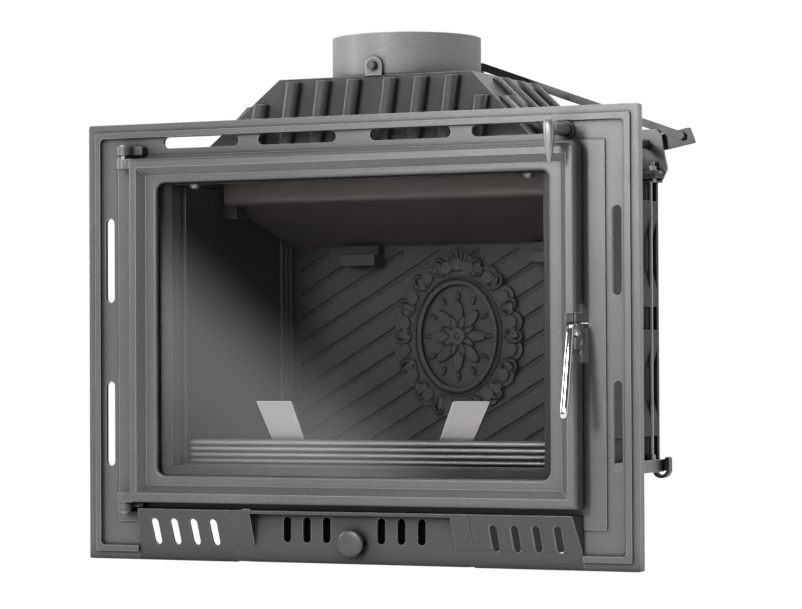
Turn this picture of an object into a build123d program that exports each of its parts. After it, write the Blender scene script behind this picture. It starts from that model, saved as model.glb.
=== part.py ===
"""Cast-iron wood fireplace insert: framed single glass door, ash drawer, ribbed dome, flue damper.

Millimetres, +X to the right, +Y into the chimney breast, +Z up. The origin is on the floor, on the
axis of the flue. Depths in this file are counted from the front face of the frame.
"""

import os
from math import atan2, cos, degrees, radians, sin, tan

from build123d import *

# ---------------------------------------------------------------- driving dimensions
# front frame
frame_width = 745.0
frame_height = 550.0
frame_thickness = 8.0
flue_setback = 162.0  # front face of the frame to the flue axis
rim_width = 10.0  # flat outer band
bead_width = 7.5  # raised band inside it
bead_rise = 2.5
return_width = 16.0  # rim at the back, along the sides and the top
return_depth = 4.5
field_recess = 2.5
frame_corner = 3.0
surround_side = 42.5  # frame edge to the raised door surround, at the sides
surround_top = 41.0
surround_foot = 48.0
surround_rise = 2.0
top_slot_length = 107.5
top_slot_width = 14.0
top_slot_pitch = 135.0
top_slot_inner = 77.0  # centre of the inner pair
top_slot_drop = 25.0  # top edge of the frame to the slot centres
side_slot_length = 107.0
side_slot_width = 12.6
side_slot_inset = 29.2  # side edge of the frame to the slot centres
side_slot_low = 170.8  # centre of the lower slot
side_slot_drop = 172.2  # top edge of the frame to the centre of the upper slot

# firebox
body_half = 258.0  # outside of the side walls
wall = 6.0
floor_top = 120.0
plate = 8.0  # hearth plate
head_room = 72.0  # top edge of the frame to the top of the side walls
flange = 6.0  # dome flange
body_rear = 359.0  # rear end of the side walls
rear_wall = 7.0
throat_depth = 16.0  # collar behind the frame that the firebox butts against
sill_height = 10.0
fin_reach = 8.5
fin_front = 30.0
fin_count = 4
fin_height = 53.0
fin_first = 31.0  # hearth plate to the lowest fin
fin_last = 25.0  # highest fin to the top of the wall
back_overlap = 6.0  # side wall to the edge of the back wall
edge = 12.0  # hearth plate and dome flange beyond the side walls
rim_drop = 8.0
liner = 5.7
liner_front = 26.0
liner_drop = 8.0  # top of the side walls to the top of the liners
corner_bead = 4.0
corner_bead_pitch = 13.0
fit_gap = 0.3

# fireback and its medallion
fireback_front = 326.0
fireback_thickness = 10.0
fireback_height = 288.0
groove_angle = 30.0
groove_rise = 32.0  # vertical spacing of the grooves
groove_width = 6.0
groove_depth = 2.5
groove_margin = 13.0
pad_side = 65.5  # edge of the fireback to the pads behind it
pad_margin = 60.0
pad_radius = 12.0
medal_x = 0.0
medal_height = 161.0  # hearth plate to the middle of the medallion
medal_half_width = 78.0
medal_half_height = 92.0
medal_rise = 5.0
medal_lobe = 15.0
medal_lobes = 16
oval_half_width = 52.0
oval_half_height = 68.5
oval_rim = 5.0
petal_count = 8
petal_reach = 24.0

# baffle
baffle_gap = 6.0  # liner to the end of the baffle
baffle_front = 118.0
baffle_lip_rise = 8.0  # lip above the side walls
baffle_lip = 36.0
baffle_plate = 7.0
baffle_rear = 322.0
baffle_fall = 47.5  # foot of the lip to the rear foot
bracket_inner = 111.0
bracket_outer = 161.0
bracket_drop = 26.5  # baffle to the foot of its brackets
bracket_shelf = 14.0
bracket_reach = 28.0
lug_front = 128.0
lug_depth = 32.0
lug_height = 16.0
lug_reach = 18.0

# log guard and andirons
guard_front = 34.0
guard_depth = 18.0
guard_height = 31.0
flute_count = 4
flute_radius = 3.6
andiron_thickness = 6.0
andiron_height = 79.0
andiron_bottom = (91.5, 136.0)
andiron_top = (111.0, 160.0)
andiron_flare_start = 28.0

# grate
grate_half = 130.0
grate_front = 75.0
grate_depth = 190.0
grate_thickness = 10.0
grate_ledge = 10.0
grate_slots = 11
grate_slot_width = 11.0

# dome and flue collar
dome_front = 28.0
dome_height = 120.0
dome_draw = 126.0  # how far the sides lean in
dome_top_front = 64.0
dome_top_rear = 262.0
dome_wall = 7.0
rib_width = 18.0
rib_reach = 13.0
rib_round = 7.0
rib_sunk = 3.0
rib_inner = 25.0
rib_pitch = 42.0
rib_count = 3
rib_short_drop = 27.0
side_rib_first = 126.0
side_rib_pitch = 47.0
side_rib_count = 3
side_rib_rear_shift = 4.0  # rearmost rib, kept clear of the shaft bracket
collar_radius = 94.5
collar_height = 54.0
socket_radius = 90.5
socket_depth = 25.0
flue_way = 86.0  # radius of the way below the socket
spigot_depth = 5.0

# damper and its linkage
axle_rise = 12.0  # foot of the collar to the damper's axle
axle_radius = 5.0
running_gap = 0.06
damper_radius = 84.0
damper_thickness = 4.0
damper_hub = 8.0
axle_front = 53.0
boss_front = 62.0
boss_radius = 11.0
shaft_side = 23.0  # side wall to the damper shaft
shaft_drop = 28.5  # top edge of the frame to the damper shaft
crank_reach_x = 42.6
crank_reach_z = 10.6
crank_front = 292.0
crank_thickness = 5.0
link_front = 287.0
link_thickness = 4.0
link_width = 10.0
link_slack = 0.3
link_crook = 5.0  # rise of the bar beside its far eye
pin_radius = 3.0
pin_head = 5.0
handle_front = -59.0
handle_depth = 13.0
handle_rise = 11.5  # shaft to the top of the handle
handle_drop = 41.5
handle_half = 7.0
handle_hub = 8.5
bush_radius = 10.6
bush_flange = 4.0
bush_barrel = 8.0
lintel_inset = 25.0  # side wall to the lintel bolts
shaft_plate_front = 280.0
shaft_plate = 4.0
ear_reach = 33.0
stud_side = 10.0  # damper shaft to the bracket's stud
ear_depth = 30.0

# door
door_half = 302.0
door_foot = 73.0
door_drop = 45.5  # top edge of the frame to the top of the door
door_front = -25.5
door_back = -3.2
door_rim = 11.5
door_bevel = 10.0
door_flat = -17.0  # depth of the flat inside the bevel
window_side = 37.0  # edge of the door to the window, at the sides
window_low = 34.5
window_high = 30.9
window_corner = 10.0
glass_lap = 7.0
glass_thickness = 4.0
glass_pocket = 7.8
seal_thickness = 0.8
rope = 8.0
rope_inset = 13.0  # door edge to the rope at the sides
rope_inset_high = 8.0  # and at head and foot
rope_play = 0.2
hinge_side = 10.0  # edge of the door to the hinge axis
hinge_y = -16.0
hinge_eye = 10.0
hinge_pin = 4.0
door_eye_height = 12.0
knuckle_height = 10.5
knuckle_radius = 9.5
knuckle_gap_top = 5.5
knuckle_gap_foot = 2.0
frame_reveal_foot = 118.0  # lower edge of the opening in the frame

# door lever
lever_z = 283.0
lever_y = -14.0
lever_pin = 3.0
lever_inset = 11.0  # edge of the door to the left side of the lever
lever_width = 12.0
lever_drop = 103.0
lever_foot_y = -56.0
lever_thickness = 8.0
cam_thickness = 3.0
notch_half = 21.0
latch_drop = 37.5  # lever to the foot of the cut-out
latch_rise = 32.0
latch_side = 6.0  # edge of the door to the right side of the cut-out
keeper_rise = 9.0  # lever to the keeper pin
keeper_y = 3.0
keeper_radius = 2.0
keeper_hold = 4.0  # how far the pin runs into the frame at each end
claw_hub = 7.6
claw_reach = 29.0

# apron and ash drawer
apron_inset = 2.0  # how far the apron's ends stay inside the door's edges
apron_top = 65.0
apron_reach = 18.0
apron_bend = 18.0
apron_wall = 4.0
apron_end = 8.0
seam = 160.0
seam_gap = 0.5
cheek = 24.0
grille_slots = 4
grille_slot_first = 29.0  # from the seam to the first slot
grille_slot_last = 28.2  # from the last slot to the end of the apron
slot_width = 10.6
grille_slot_foot = 20.0
grille_slot_head = 53.0
air_slot_inner = 37.0
air_slot_pitch = 27.0
air_slot_foot = 25.5
air_slot_head = 57.5
drawer_lift = 1.0
knob_z = 26.7
knob_radius = 17.0
knob_front = -14.0
knob_thickness = 8.0
stem_radius = 4.0
air_travel = 12.0
shutter_thickness = 2.0
ash_box_half = 148.0
ash_box_rear = 340.0
sheet = 2.5
pan_half = 141.0
pan_front = 14.0
pan_rear = 330.0
pan_height = 47.0
pan_sheet = 2.0

# fasteners
rod_radius = 3.0
rod_side = 6.0  # side wall to rod axis
rod_front = 42.0
rod_rear = 335.0
rod_end = 1.0  # foot of the hearth plate to the end of the rods
nut_flats = 10.0
nut_height = 5.0
washer_radius = 5.8
washer_thickness = 1.5

# rear lugs
lug_beyond = 9.5  # how far the lugs stand out beside the hearth plate
lug_length = 43.0
lug_width = 12.0
curl = 11.5
strip = 4.0
bolt_inset = 18.0  # edge of the hearth plate to the lug bolts

# ---------------------------------------------------------------- worked-out places
wall_top = frame_height - head_room
liner_top = wall_top - liner_drop
fireback_top = floor_top + fireback_height
medal_z = floor_top + medal_height
inner_half = body_half - wall
frame_half = frame_width / 2
bead_outer = frame_half - rim_width
field_half = bead_outer - bead_width
throat_rear = frame_thickness + throat_depth
opening_head = wall_top - wall
dome_base = wall_top + flange
dome_top = dome_base + dome_height
dome_top_half = body_half - dome_draw
plate_half = body_half + edge
plate_foot = floor_top - plate
plate_rear = body_rear + rear_wall
liner_half = inner_half - fit_gap - liner
baffle_half = liner_half - baffle_gap
baffle_lip_top = wall_top + baffle_lip_rise
baffle_lip_foot = baffle_lip_top - baffle_lip
baffle_rear_foot = baffle_lip_foot - baffle_fall
bracket_foot = baffle_rear_foot - bracket_drop
bead_front = -bead_rise
surround_face = field_recess - surround_rise
collar_top = dome_top + collar_height
axle_height = dome_top + axle_rise
shaft_x = body_half + shaft_side
shaft_z = frame_height - shaft_drop
door_head = frame_height - door_drop
window_half = door_half - window_side
window_foot = door_foot + window_low
window_head = door_head - window_high
hinge_x = -(door_half + hinge_side)
apron_half = door_half - apron_inset
grille_slot_room = apron_half - seam - grille_slot_first - grille_slot_last
grille_slot_pitch = grille_slot_room / (grille_slots - 1)
lever_left = door_half - lever_inset
lever_foot = lever_z - lever_drop
notch_foot = lever_z - notch_half
notch_head = lever_z + notch_half
latch_foot = lever_z - latch_drop
latch_head = lever_z + latch_rise
latch_left = lever_left - 1.5
latch_right = door_half + latch_side
rod_x = body_half + rod_side
rod_foot = plate_foot - rim_drop + rod_end
lip_rear = baffle_front + 22
baffle_slope = baffle_fall / (baffle_rear - lip_rear)
guard_rear = guard_front + guard_depth
glass_back = door_back - glass_pocket + seal_thickness + glass_thickness


# ---------------------------------------------------------------- helpers
def facing(depth):
    """Upright plane behind the frame's front by depth, looking at the room: sketch X, Z."""
    return Plane(origin=(0, depth - flue_setback, 0), x_dir=(1, 0, 0), z_dir=(0, -1, 0))


def level(height):
    """Level plane: sketch X, depth."""
    return Plane(origin=(0, -flue_setback, height), x_dir=(1, 0, 0), z_dir=(0, 0, 1))


def across(x):
    """Upright plane square to X: sketch depth, Z."""
    return Plane(origin=(x, -flue_setback, 0), x_dir=(0, 1, 0), z_dir=(1, 0, 0))


def block(xs, ys, zs, mode=Mode.ADD):
    """Box between two X, two depths and two heights."""
    spans = [sorted(pair) for pair in (xs, ys, zs)]
    centre = [sum(pair) / 2 for pair in spans]
    sizes = [pair[1] - pair[0] for pair in spans]
    with Locations((centre[0], centre[1] - flue_setback, centre[2])):
        Box(*sizes, mode=mode)


def rod_x_way(y, z, xs, radius, mode=Mode.ADD):
    """Round bar along X."""
    with Locations(((xs[0] + xs[1]) / 2, y - flue_setback, z)):
        Cylinder(radius, abs(xs[1] - xs[0]), rotation=(0, 90, 0), mode=mode)


def rod_y_way(x, z, ys, radius, mode=Mode.ADD):
    """Round bar along Y."""
    with Locations((x, (ys[0] + ys[1]) / 2 - flue_setback, z)):
        Cylinder(radius, abs(ys[1] - ys[0]), rotation=(90, 0, 0), mode=mode)


def rod_z_way(x, y, zs, radius, mode=Mode.ADD):
    """Round bar along Z."""
    with Locations((x, y - flue_setback, (zs[0] + zs[1]) / 2)):
        Cylinder(radius, abs(zs[1] - zs[0]), mode=mode)


def outline(*points):
    """Closed face of a sketch through points."""
    Polygon(*points, align=None)


def panel(x_low, x_high, z_low, z_high, corner=0.0):
    """Rectangle of a sketch between two X and two heights."""
    with Locations(((x_low + x_high) / 2, (z_low + z_high) / 2)):
        if corner:
            RectangleRounded(x_high - x_low, z_high - z_low, corner)
        else:
            Rectangle(x_high - x_low, z_high - z_low)


def hexagon_z(x, y, foot, height, flats):
    """Hexagon head or nut standing on the level foot."""
    with BuildSketch(level(foot)) as face:
        with Locations((x, y)):
            RegularPolygon(flats / 2, 6, major_radius=False)
    extrude(face.sketch, amount=height)


def save(builder, name):
    """Labels a finished piece and writes it."""
    builder.part.label = name
    export_step(builder.part, f"parts/{name}.step")


os.makedirs("parts", exist_ok=True)

# ---------------------------------------------------------------- front frame
with BuildPart() as front_frame:
    with BuildSketch(facing(frame_thickness)):
        panel(-frame_half, frame_half, 0, frame_height, frame_corner)
    extrude(amount=frame_thickness)
    with BuildSketch(facing(0)):
        panel(-bead_outer, bead_outer, rim_width, frame_height - rim_width, frame_corner)
    extrude(amount=bead_rise)
    field_foot = rim_width + bead_width
    with BuildSketch(facing(bead_front)):
        panel(-field_half, field_half, field_foot, frame_height - field_foot, 2 * frame_corner)
    extrude(amount=-(bead_rise + field_recess), mode=Mode.SUBTRACT)
    surround_half = frame_half - surround_side
    with BuildSketch(facing(field_recess)):
        panel(-surround_half, surround_half, surround_foot, frame_height - surround_top, 1)
    extrude(amount=surround_rise)
    # rim at the back that lies on the chimney breast
    with BuildSketch(facing(frame_thickness + return_depth)):
        panel(-frame_half, frame_half, 0, frame_height, frame_corner)
        return_half = frame_half - return_width
        with Locations((0, (frame_height - return_width) / 2 - 1)):
            Rectangle(2 * return_half, frame_height - return_width + 2, mode=Mode.SUBTRACT)
    extrude(amount=return_depth)
    # collar at the back for the firebox
    with BuildSketch(facing(frame_thickness)):
        panel(-body_half, body_half, frame_reveal_foot - sill_height, wall_top)
    extrude(amount=-throat_depth)
    block(
        (-inner_half, inner_half),
        (bead_front - 1, throat_rear + 1),
        (frame_reveal_foot, opening_head),
        Mode.SUBTRACT,
    )
    # way for the apron
    block(
        (-apron_half - seam_gap, apron_half + seam_gap),
        (bead_front - 1, frame_thickness + 1),
        (-1, apron_top + seam_gap),
        Mode.SUBTRACT,
    )
    # convection slots
    with BuildSketch(facing(bead_front - 1)):
        for side in (-1, 1):
            slot_z = frame_height - top_slot_drop
            for step in range(2):
                with Locations((side * (top_slot_inner + step * top_slot_pitch), slot_z)):
                    SlotOverall(top_slot_length, top_slot_width)
            for height in (side_slot_low, frame_height - side_slot_drop):
                with Locations((side * (frame_half - side_slot_inset), height)):
                    SlotOverall(side_slot_length, side_slot_width, rotation=90)
    extrude(amount=-(frame_thickness + bead_rise + 2), mode=Mode.SUBTRACT)
    # latch cut-out, bush hole and lintel bolt holes
    block(
        (latch_left, latch_right),
        (bead_front - 1, frame_thickness + 1),
        (latch_foot, latch_head),
        Mode.SUBTRACT,
    )
    keeper_span = (latch_left - keeper_hold, latch_right + keeper_hold)
    keeper_z = lever_z + keeper_rise
    rod_x_way(keeper_y, keeper_z, keeper_span, keeper_radius, Mode.SUBTRACT)
    rod_y_way(shaft_x, shaft_z, (bead_front - 3, frame_thickness + 1), bush_barrel, Mode.SUBTRACT)
    lintel_x = inner_half - lintel_inset
    lintel_y = throat_rear - throat_depth / 2
    lintel_radius = 4.0
    for side in (-1, 1):
        lintel_span = (opening_head - 1, wall_top + 1)
        rod_z_way(side * lintel_x, lintel_y, lintel_span, lintel_radius, Mode.SUBTRACT)
save(front_frame, "front_frame")

knuckle_spans = (
    (door_head + knuckle_gap_top, door_head + knuckle_gap_top + knuckle_height),
    (door_foot - knuckle_gap_foot - knuckle_height, door_foot - knuckle_gap_foot),
)
with BuildPart() as hinge_knuckles:
    for span in knuckle_spans:
        rod_z_way(hinge_x, hinge_y, span, knuckle_radius)
        knuckle_sides = (hinge_x - knuckle_radius, hinge_x + knuckle_radius)
        block(knuckle_sides, (hinge_y, field_recess + 1), span)
        arm_span = (max(span[0], apron_top + 1.5), span[1])
        block((hinge_x, hinge_x + 22), (hinge_y + 6, field_recess + 1), arm_span)
        rod_z_way(hinge_x, hinge_y, span, hinge_pin, Mode.SUBTRACT)
    # feet that lie on the face of the frame
    add(front_frame.part, mode=Mode.SUBTRACT)
save(hinge_knuckles, "hinge_knuckles")

# ---------------------------------------------------------------- lower grilles
apron_profile = (
    (0, 0),
    (0, apron_bend),
    (-apron_reach, apron_top),
    (apron_wall, apron_top),
    (apron_wall, 0),
)
apron_hollow = (
    (apron_wall + 1, -1),
    (apron_wall, -1),
    (apron_wall, apron_bend + 1),
    (apron_wall - apron_reach, apron_top - apron_wall),
    (apron_wall + 1, apron_top - apron_wall),
)
for side, name in ((-1, "left_grille"), (1, "right_grille")):
    with BuildPart() as grille:
        inner = side * (seam + seam_gap)
        length = apron_half - seam - seam_gap
        with BuildSketch(across(inner)):
            outline(*apron_profile)
        extrude(amount=side * length)
        with BuildSketch(level(-1)):
            outline(
                (side * apron_half, 0),
                (side * (apron_half + 1), -apron_reach - 1),
                (side * (apron_half - apron_end), -apron_reach - 1),
            )
        extrude(amount=apron_top + 2, mode=Mode.SUBTRACT)
        with BuildSketch(across(inner + side * apron_wall)):
            outline(*apron_hollow)
        extrude(amount=side * (length - apron_end - 2 * apron_wall), mode=Mode.SUBTRACT)
        # ear behind the frame
        ear_x = (inner + side * 5, side * (apron_half + 14))
        ear_y = (frame_thickness, frame_thickness + apron_wall)
        shelf_z = (apron_top - apron_wall, apron_top)
        block((inner, side * (apron_half - 1)), (apron_wall - 1, ear_y[1]), shelf_z)
        block(ear_x, ear_y, (apron_top - 2 * apron_wall, apron_top + 16))
        with BuildSketch(facing(-apron_reach - 2)):
            for step in range(grille_slots):
                slot_x = side * (seam + grille_slot_first + step * grille_slot_pitch)
                with Locations((slot_x, (grille_slot_foot + grille_slot_head) / 2)):
                    SlotOverall(grille_slot_head - grille_slot_foot, slot_width, rotation=90)
        extrude(amount=-(apron_reach + apron_wall + 3), mode=Mode.SUBTRACT)
        for screw_x in (seam + 30, apron_half - 20):
            screw_span = (frame_thickness - 1, frame_thickness + apron_wall + 1)
            rod_y_way(side * screw_x, apron_top + 9, screw_span, 3, Mode.SUBTRACT)
    save(grille, name)

with BuildPart() as grille_screws:
    for side in (-1, 1):
        for screw_x in (seam + 30, apron_half - 20):
            start = frame_thickness + apron_wall
            rod_y_way(side * screw_x, apron_top + 9, (frame_thickness, start), 3)
            rod_y_way(side * screw_x, apron_top + 9, (start, start + 3.5), 5)
save(grille_screws, "grille_screws")

# ---------------------------------------------------------------- hearth plate and grate
with BuildPart() as hearth_plate:
    block((-plate_half, plate_half), (throat_rear, plate_rear), (plate_foot, floor_top))
    block((-plate_half, plate_half), (throat_rear, plate_rear), (plate_foot - rim_drop, plate_foot))
    block(
        (wall - plate_half, plate_half - wall),
        (throat_rear + wall, plate_rear - wall),
        (plate_foot - rim_drop - 1, plate_foot),
        Mode.SUBTRACT,
    )
    grate_rear = grate_front + grate_depth
    block(
        (grate_ledge - grate_half, grate_half - grate_ledge),
        (grate_front + grate_ledge, grate_rear - grate_ledge),
        (plate_foot - 1, floor_top + 1),
        Mode.SUBTRACT,
    )
    seat = floor_top - plate / 2
    block(
        (-grate_half - fit_gap, grate_half + fit_gap),
        (grate_front - fit_gap, grate_rear + fit_gap),
        (seat, floor_top + 1),
        Mode.SUBTRACT,
    )
    for side in (-1, 1):
        for depth in (rod_front, rod_rear):
            rod_span = (rod_foot, floor_top + 1)
            rod_z_way(side * rod_x, depth, rod_span, rod_radius, Mode.SUBTRACT)
save(hearth_plate, "hearth_plate")

with BuildPart() as grate:
    block((-grate_half, grate_half), (grate_front, grate_rear), (seat, seat + grate_thickness))
    pitch = (2 * grate_half - 2 * grate_ledge) / grate_slots
    with BuildSketch(level(seat - 1)):
        for step in range(grate_slots):
            slot_x = (step - (grate_slots - 1) / 2) * pitch
            with Locations((slot_x, grate_front + grate_depth / 2)):
                SlotOverall(grate_depth - 4 * grate_ledge, grate_slot_width, rotation=90)
    extrude(amount=grate_thickness + 2, mode=Mode.SUBTRACT)
save(grate, "grate")

# ---------------------------------------------------------------- finned side walls
fin_pitch = (wall_top - floor_top - fin_first - fin_last - fin_height) / (fin_count - 1)
for side, name in ((-1, "left_wall"), (1, "right_wall")):
    with BuildPart() as side_wall:
        block((side * inner_half, side * body_half), (throat_rear, body_rear), (floor_top, wall_top))
        for number in range(fin_count):
            low = floor_top + fin_first + number * fin_pitch
            high = low + fin_height
            # each fin leans out from the wall, every other one the other way up
            foot, head = (low, high) if number % 2 else (high, low)
            tip = head - 6 if head > foot else head + 6
            with BuildSketch(facing(fin_front)):
                with BuildLine():
                    Line((side * (body_half - 1), foot), (side * (body_half - 1), head))
                    Line((side * (body_half - 1), head), (side * (body_half + fin_reach), head))
                    Line((side * (body_half + fin_reach), head), (side * (body_half + fin_reach), tip))
                    middle = (side * (body_half + 0.62 * fin_reach), (foot + tip) / 2)
                    ThreePointArc(
                        (side * (body_half + fin_reach), tip),
                        middle,
                        (side * (body_half - 1), foot),
                    )
                make_face()
            extrude(amount=-(body_rear - 2 - fin_front))
        for depth in (rod_front, rod_rear):
            clearance = rod_radius + 0.4
            rod_z_way(side * rod_x, depth, (floor_top, wall_top), clearance, Mode.SUBTRACT)
    save(side_wall, name)

with BuildPart() as back_wall:
    back_half = body_half + back_overlap
    block((-back_half, back_half), (body_rear, plate_rear), (floor_top, wall_top))
    for step in range(-4, 5):
        rib_half = 3.0
        x = step * back_half / 4.7
        block((x - rib_half, x + rib_half), (plate_rear, plate_rear + 6), (floor_top + 20, wall_top - 20))
save(back_wall, "back_wall")

with BuildPart() as tie_rods:
    for side in (-1, 1):
        for depth in (rod_front, rod_rear):
            rod_z_way(side * rod_x, depth, (rod_foot, dome_base + 12), rod_radius)
save(tie_rods, "tie_rods")

with BuildPart() as tie_washers:
    for side in (-1, 1):
        for depth in (rod_front, rod_rear):
            for foot in (floor_top, dome_base):
                rod_z_way(side * rod_x, depth, (foot, foot + washer_thickness), washer_radius)
            rod_z_way(side * rod_x, depth, (floor_top - 1, dome_base + 9), rod_radius, Mode.SUBTRACT)
save(tie_washers, "tie_washers")

with BuildPart() as tie_nuts:
    for side in (-1, 1):
        for depth in (rod_front, rod_rear):
            for foot in (floor_top, dome_base):
                hexagon_z(side * rod_x, depth, foot + washer_thickness, nut_height, nut_flats)
            rod_span = (floor_top - 1, dome_base + 13)
            rod_z_way(side * rod_x, depth, rod_span, rod_radius, Mode.SUBTRACT)
save(tie_nuts, "tie_nuts")

# ---------------------------------------------------------------- liners
for side, name in ((-1, "left_liner"), (1, "right_liner")):
    with BuildPart() as side_liner:
        block(
            (side * liner_half, side * (liner_half + liner)),
            (liner_front, fireback_front - 2),
            (floor_top, liner_top),
        )
        for step in range(3):
            depth = fireback_front - 8 - step * corner_bead_pitch
            rod_z_way(side * liner_half, depth, (floor_top, liner_top), corner_bead)
        lug_top = baffle_lip_foot - fit_gap
        lug_rear = lug_front + lug_depth
        with BuildSketch(across(side * (liner_half - lug_reach))):
            outline(
                (lug_front, lug_top - lug_height),
                (lug_front, lug_top),
                (lip_rear, lug_top),
                (lug_rear, lug_top - baffle_slope * (lug_rear - lip_rear)),
                (lug_rear, lug_top - lug_height),
            )
        extrude(amount=side * (lug_reach + 1))
    save(side_liner, name)

# ---------------------------------------------------------------- fireback
fireback_half = liner_half - fit_gap


def groove_ends(offset):
    """Where a groove through (0, offset) enters and leaves the grooved field."""
    slope = tan(radians(groove_angle))
    half = fireback_half - groove_margin
    low = floor_top + groove_margin
    high = fireback_top - groove_margin
    left = max(-half, (low - offset) / slope)
    right = min(half, (high - offset) / slope)
    return (left, offset + slope * left), (right, offset + slope * right)


with BuildPart() as fireback:
    fireback_rear = fireback_front + fireback_thickness
    with BuildSketch(facing(fireback_rear)):
        panel(-fireback_half, fireback_half, floor_top, fireback_top)
    extrude(amount=fireback_thickness)
    with BuildSketch(facing(fireback_front)):
        for step in range(-8, 9):
            start, end = groove_ends(medal_z + step * groove_rise)
            length = ((end[0] - start[0]) ** 2 + (end[1] - start[1]) ** 2) ** 0.5
            if end[0] > start[0] and length > 3 * groove_width:
                with Locations(((start[0] + end[0]) / 2, (start[1] + end[1]) / 2)):
                    SlotOverall(length, groove_width, rotation=groove_angle)
    extrude(amount=-groove_depth, mode=Mode.SUBTRACT)
    # medallion ground with its ring of lobes and a crest
    with BuildSketch(facing(fireback_front + groove_depth)):
        with Locations((medal_x, medal_z)):
            Ellipse(medal_half_width, medal_half_height)
        for step in range(medal_lobes):
            turn = radians(360 / medal_lobes * (step + 0.5))
            lobe = (medal_x + medal_half_width * cos(turn), medal_z + medal_half_height * sin(turn))
            with Locations(lobe):
                Circle(medal_lobe)
        with Locations((medal_x, medal_z + medal_half_height)):
            Circle(1.4 * medal_lobe)
    extrude(amount=groove_depth + medal_rise)
    medal_face = fireback_front - medal_rise
    # oval rim round a sunk field
    with BuildSketch(facing(medal_face)):
        with Locations((medal_x, medal_z)):
            Ellipse(oval_half_width + oval_rim, oval_half_height + oval_rim)
            Ellipse(oval_half_width, oval_half_height, mode=Mode.SUBTRACT)
    extrude(amount=4)
    with BuildSketch(facing(medal_face)):
        with Locations((medal_x, medal_z)):
            Ellipse(oval_half_width, oval_half_height)
    extrude(amount=-3, mode=Mode.SUBTRACT)
    # rosette of petals
    with BuildSketch(facing(medal_face + 3)):
        for step in range(petal_count):
            turn = 360 / petal_count * step
            petal_x = medal_x + petal_reach * cos(radians(turn))
            petal_z = medal_z + 1.25 * petal_reach * sin(radians(turn))
            with Locations((petal_x, petal_z)):
                Ellipse(15, 7, rotation=turn)
    extrude(amount=4)
    rod_y_way(medal_x, medal_z, (medal_face - 4, medal_face + 3), 11)
    # bead on each lobe
    for step in range(medal_lobes):
        turn = radians(360 / medal_lobes * (step + 0.5))
        bead_x = medal_x + medal_half_width * cos(turn)
        bead_z = medal_z + medal_half_height * sin(turn)
        rod_y_way(bead_x, bead_z, (medal_face - 3, medal_face), 8)
    # pads against the back wall
    for side in (-1, 1):
        for height in (floor_top + pad_margin, fireback_top - pad_margin):
            pad_x = side * (fireback_half - pad_side)
            rod_y_way(pad_x, height, (fireback_rear, body_rear), pad_radius)
save(fireback, "fireback")

# ---------------------------------------------------------------- baffle and what carries it
with BuildPart() as baffle:
    rear_head = baffle_rear_foot + baffle_plate
    with BuildSketch(across(-baffle_half)):
        outline(
            (baffle_rear, baffle_rear_foot),
            (baffle_rear, rear_head),
            (lip_rear + 6, baffle_lip_foot + baffle_plate + 2),
            (lip_rear - 4, baffle_lip_top),
            (baffle_front, baffle_lip_top),
            (baffle_front, baffle_lip_foot),
            (lip_rear, baffle_lip_foot),
        )
    extrude(amount=2 * baffle_half)
    lip_edges = (
        baffle.edges()
        .filter_by(Axis.X)
        .group_by(Axis.Y)[0]
    )
    fillet(lip_edges, radius=8)
save(baffle, "baffle")

with BuildPart() as baffle_brackets:
    for side in (-1, 1):
        xs = (side * bracket_inner, side * bracket_outer)
        front = fireback_front - bracket_reach
        block(xs, (front, fireback_front), (bracket_foot, bracket_foot + bracket_shelf))
        block(xs, (front + 12, fireback_front), (bracket_foot, baffle_rear_foot))
save(baffle_brackets, "baffle_brackets")

# ---------------------------------------------------------------- log guard and andirons
with BuildPart() as log_guard:
    guard_half = liner_half - fit_gap
    guard_top = floor_top + guard_height
    block((-guard_half, guard_half), (guard_front + flute_radius, guard_rear), (floor_top, guard_top))
    for step in range(flute_count):
        pitch = guard_height / flute_count
        flute_z = floor_top + pitch * (step + 0.5)
        rod_x_way(guard_front + flute_radius, flute_z, (-guard_half, guard_half), flute_radius)
save(log_guard, "log_guard")

for side, name in ((-1, "left_andiron"), (1, "right_andiron")):
    with BuildPart() as andiron:
        rear = guard_rear + andiron_thickness
        with BuildSketch(facing(rear)):
            outline(
                (side * andiron_bottom[0], floor_top),
                (side * andiron_bottom[0], floor_top + andiron_flare_start),
                (side * andiron_top[0], floor_top + andiron_height),
                (side * andiron_top[1], floor_top + andiron_height),
                (side * andiron_bottom[1], floor_top + andiron_flare_start),
                (side * andiron_bottom[1], floor_top),
            )
        extrude(amount=andiron_thickness)
    save(andiron, name)

# ---------------------------------------------------------------- dome
rise = dome_top - dome_base


def dome_shell(inset, foot, head):
    """Truncated pyramid of the dome between two heights, drawn in by inset."""
    def rectangle(height):
        share = (height - dome_base) / rise
        half = body_half + (dome_top_half - body_half) * share - inset
        front = dome_front + (dome_top_front - dome_front) * share + inset
        rear = body_rear + (dome_top_rear - body_rear) * share - inset
        with BuildSketch(level(height)) as face:
            panel(-half, half, front, rear)
        return face.sketch

    return rectangle(foot), rectangle(head)


def rib_on_slope(start, end, width_way):
    """Rib with a rounded back up a slope, its head and foot cut level."""
    axis = (Vector(*end) - Vector(*start)).normalized()
    beyond = 2 * rib_reach
    begin = Vector(*start) - axis * beyond
    reach = (Vector(*end) - begin).length + beyond
    with BuildSketch(Plane(origin=begin, x_dir=width_way, z_dir=axis)) as face:
        panel(-rib_width / 2, rib_width / 2, rib_round - rib_reach, rib_sunk)
        panel(-rib_width / 2, rib_width / 2, -rib_reach, 2 * rib_round - rib_reach, rib_round - 0.1)
    bar = extrude(face.sketch, amount=reach, mode=Mode.PRIVATE)
    slab_size = 4 * body_half
    slab_height = end[2] - start[2]
    slab = Box(slab_size, slab_size, slab_height, mode=Mode.PRIVATE)
    add(bar & slab.moved(Location((0, 0, start[2] + slab_height / 2))))


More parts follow.
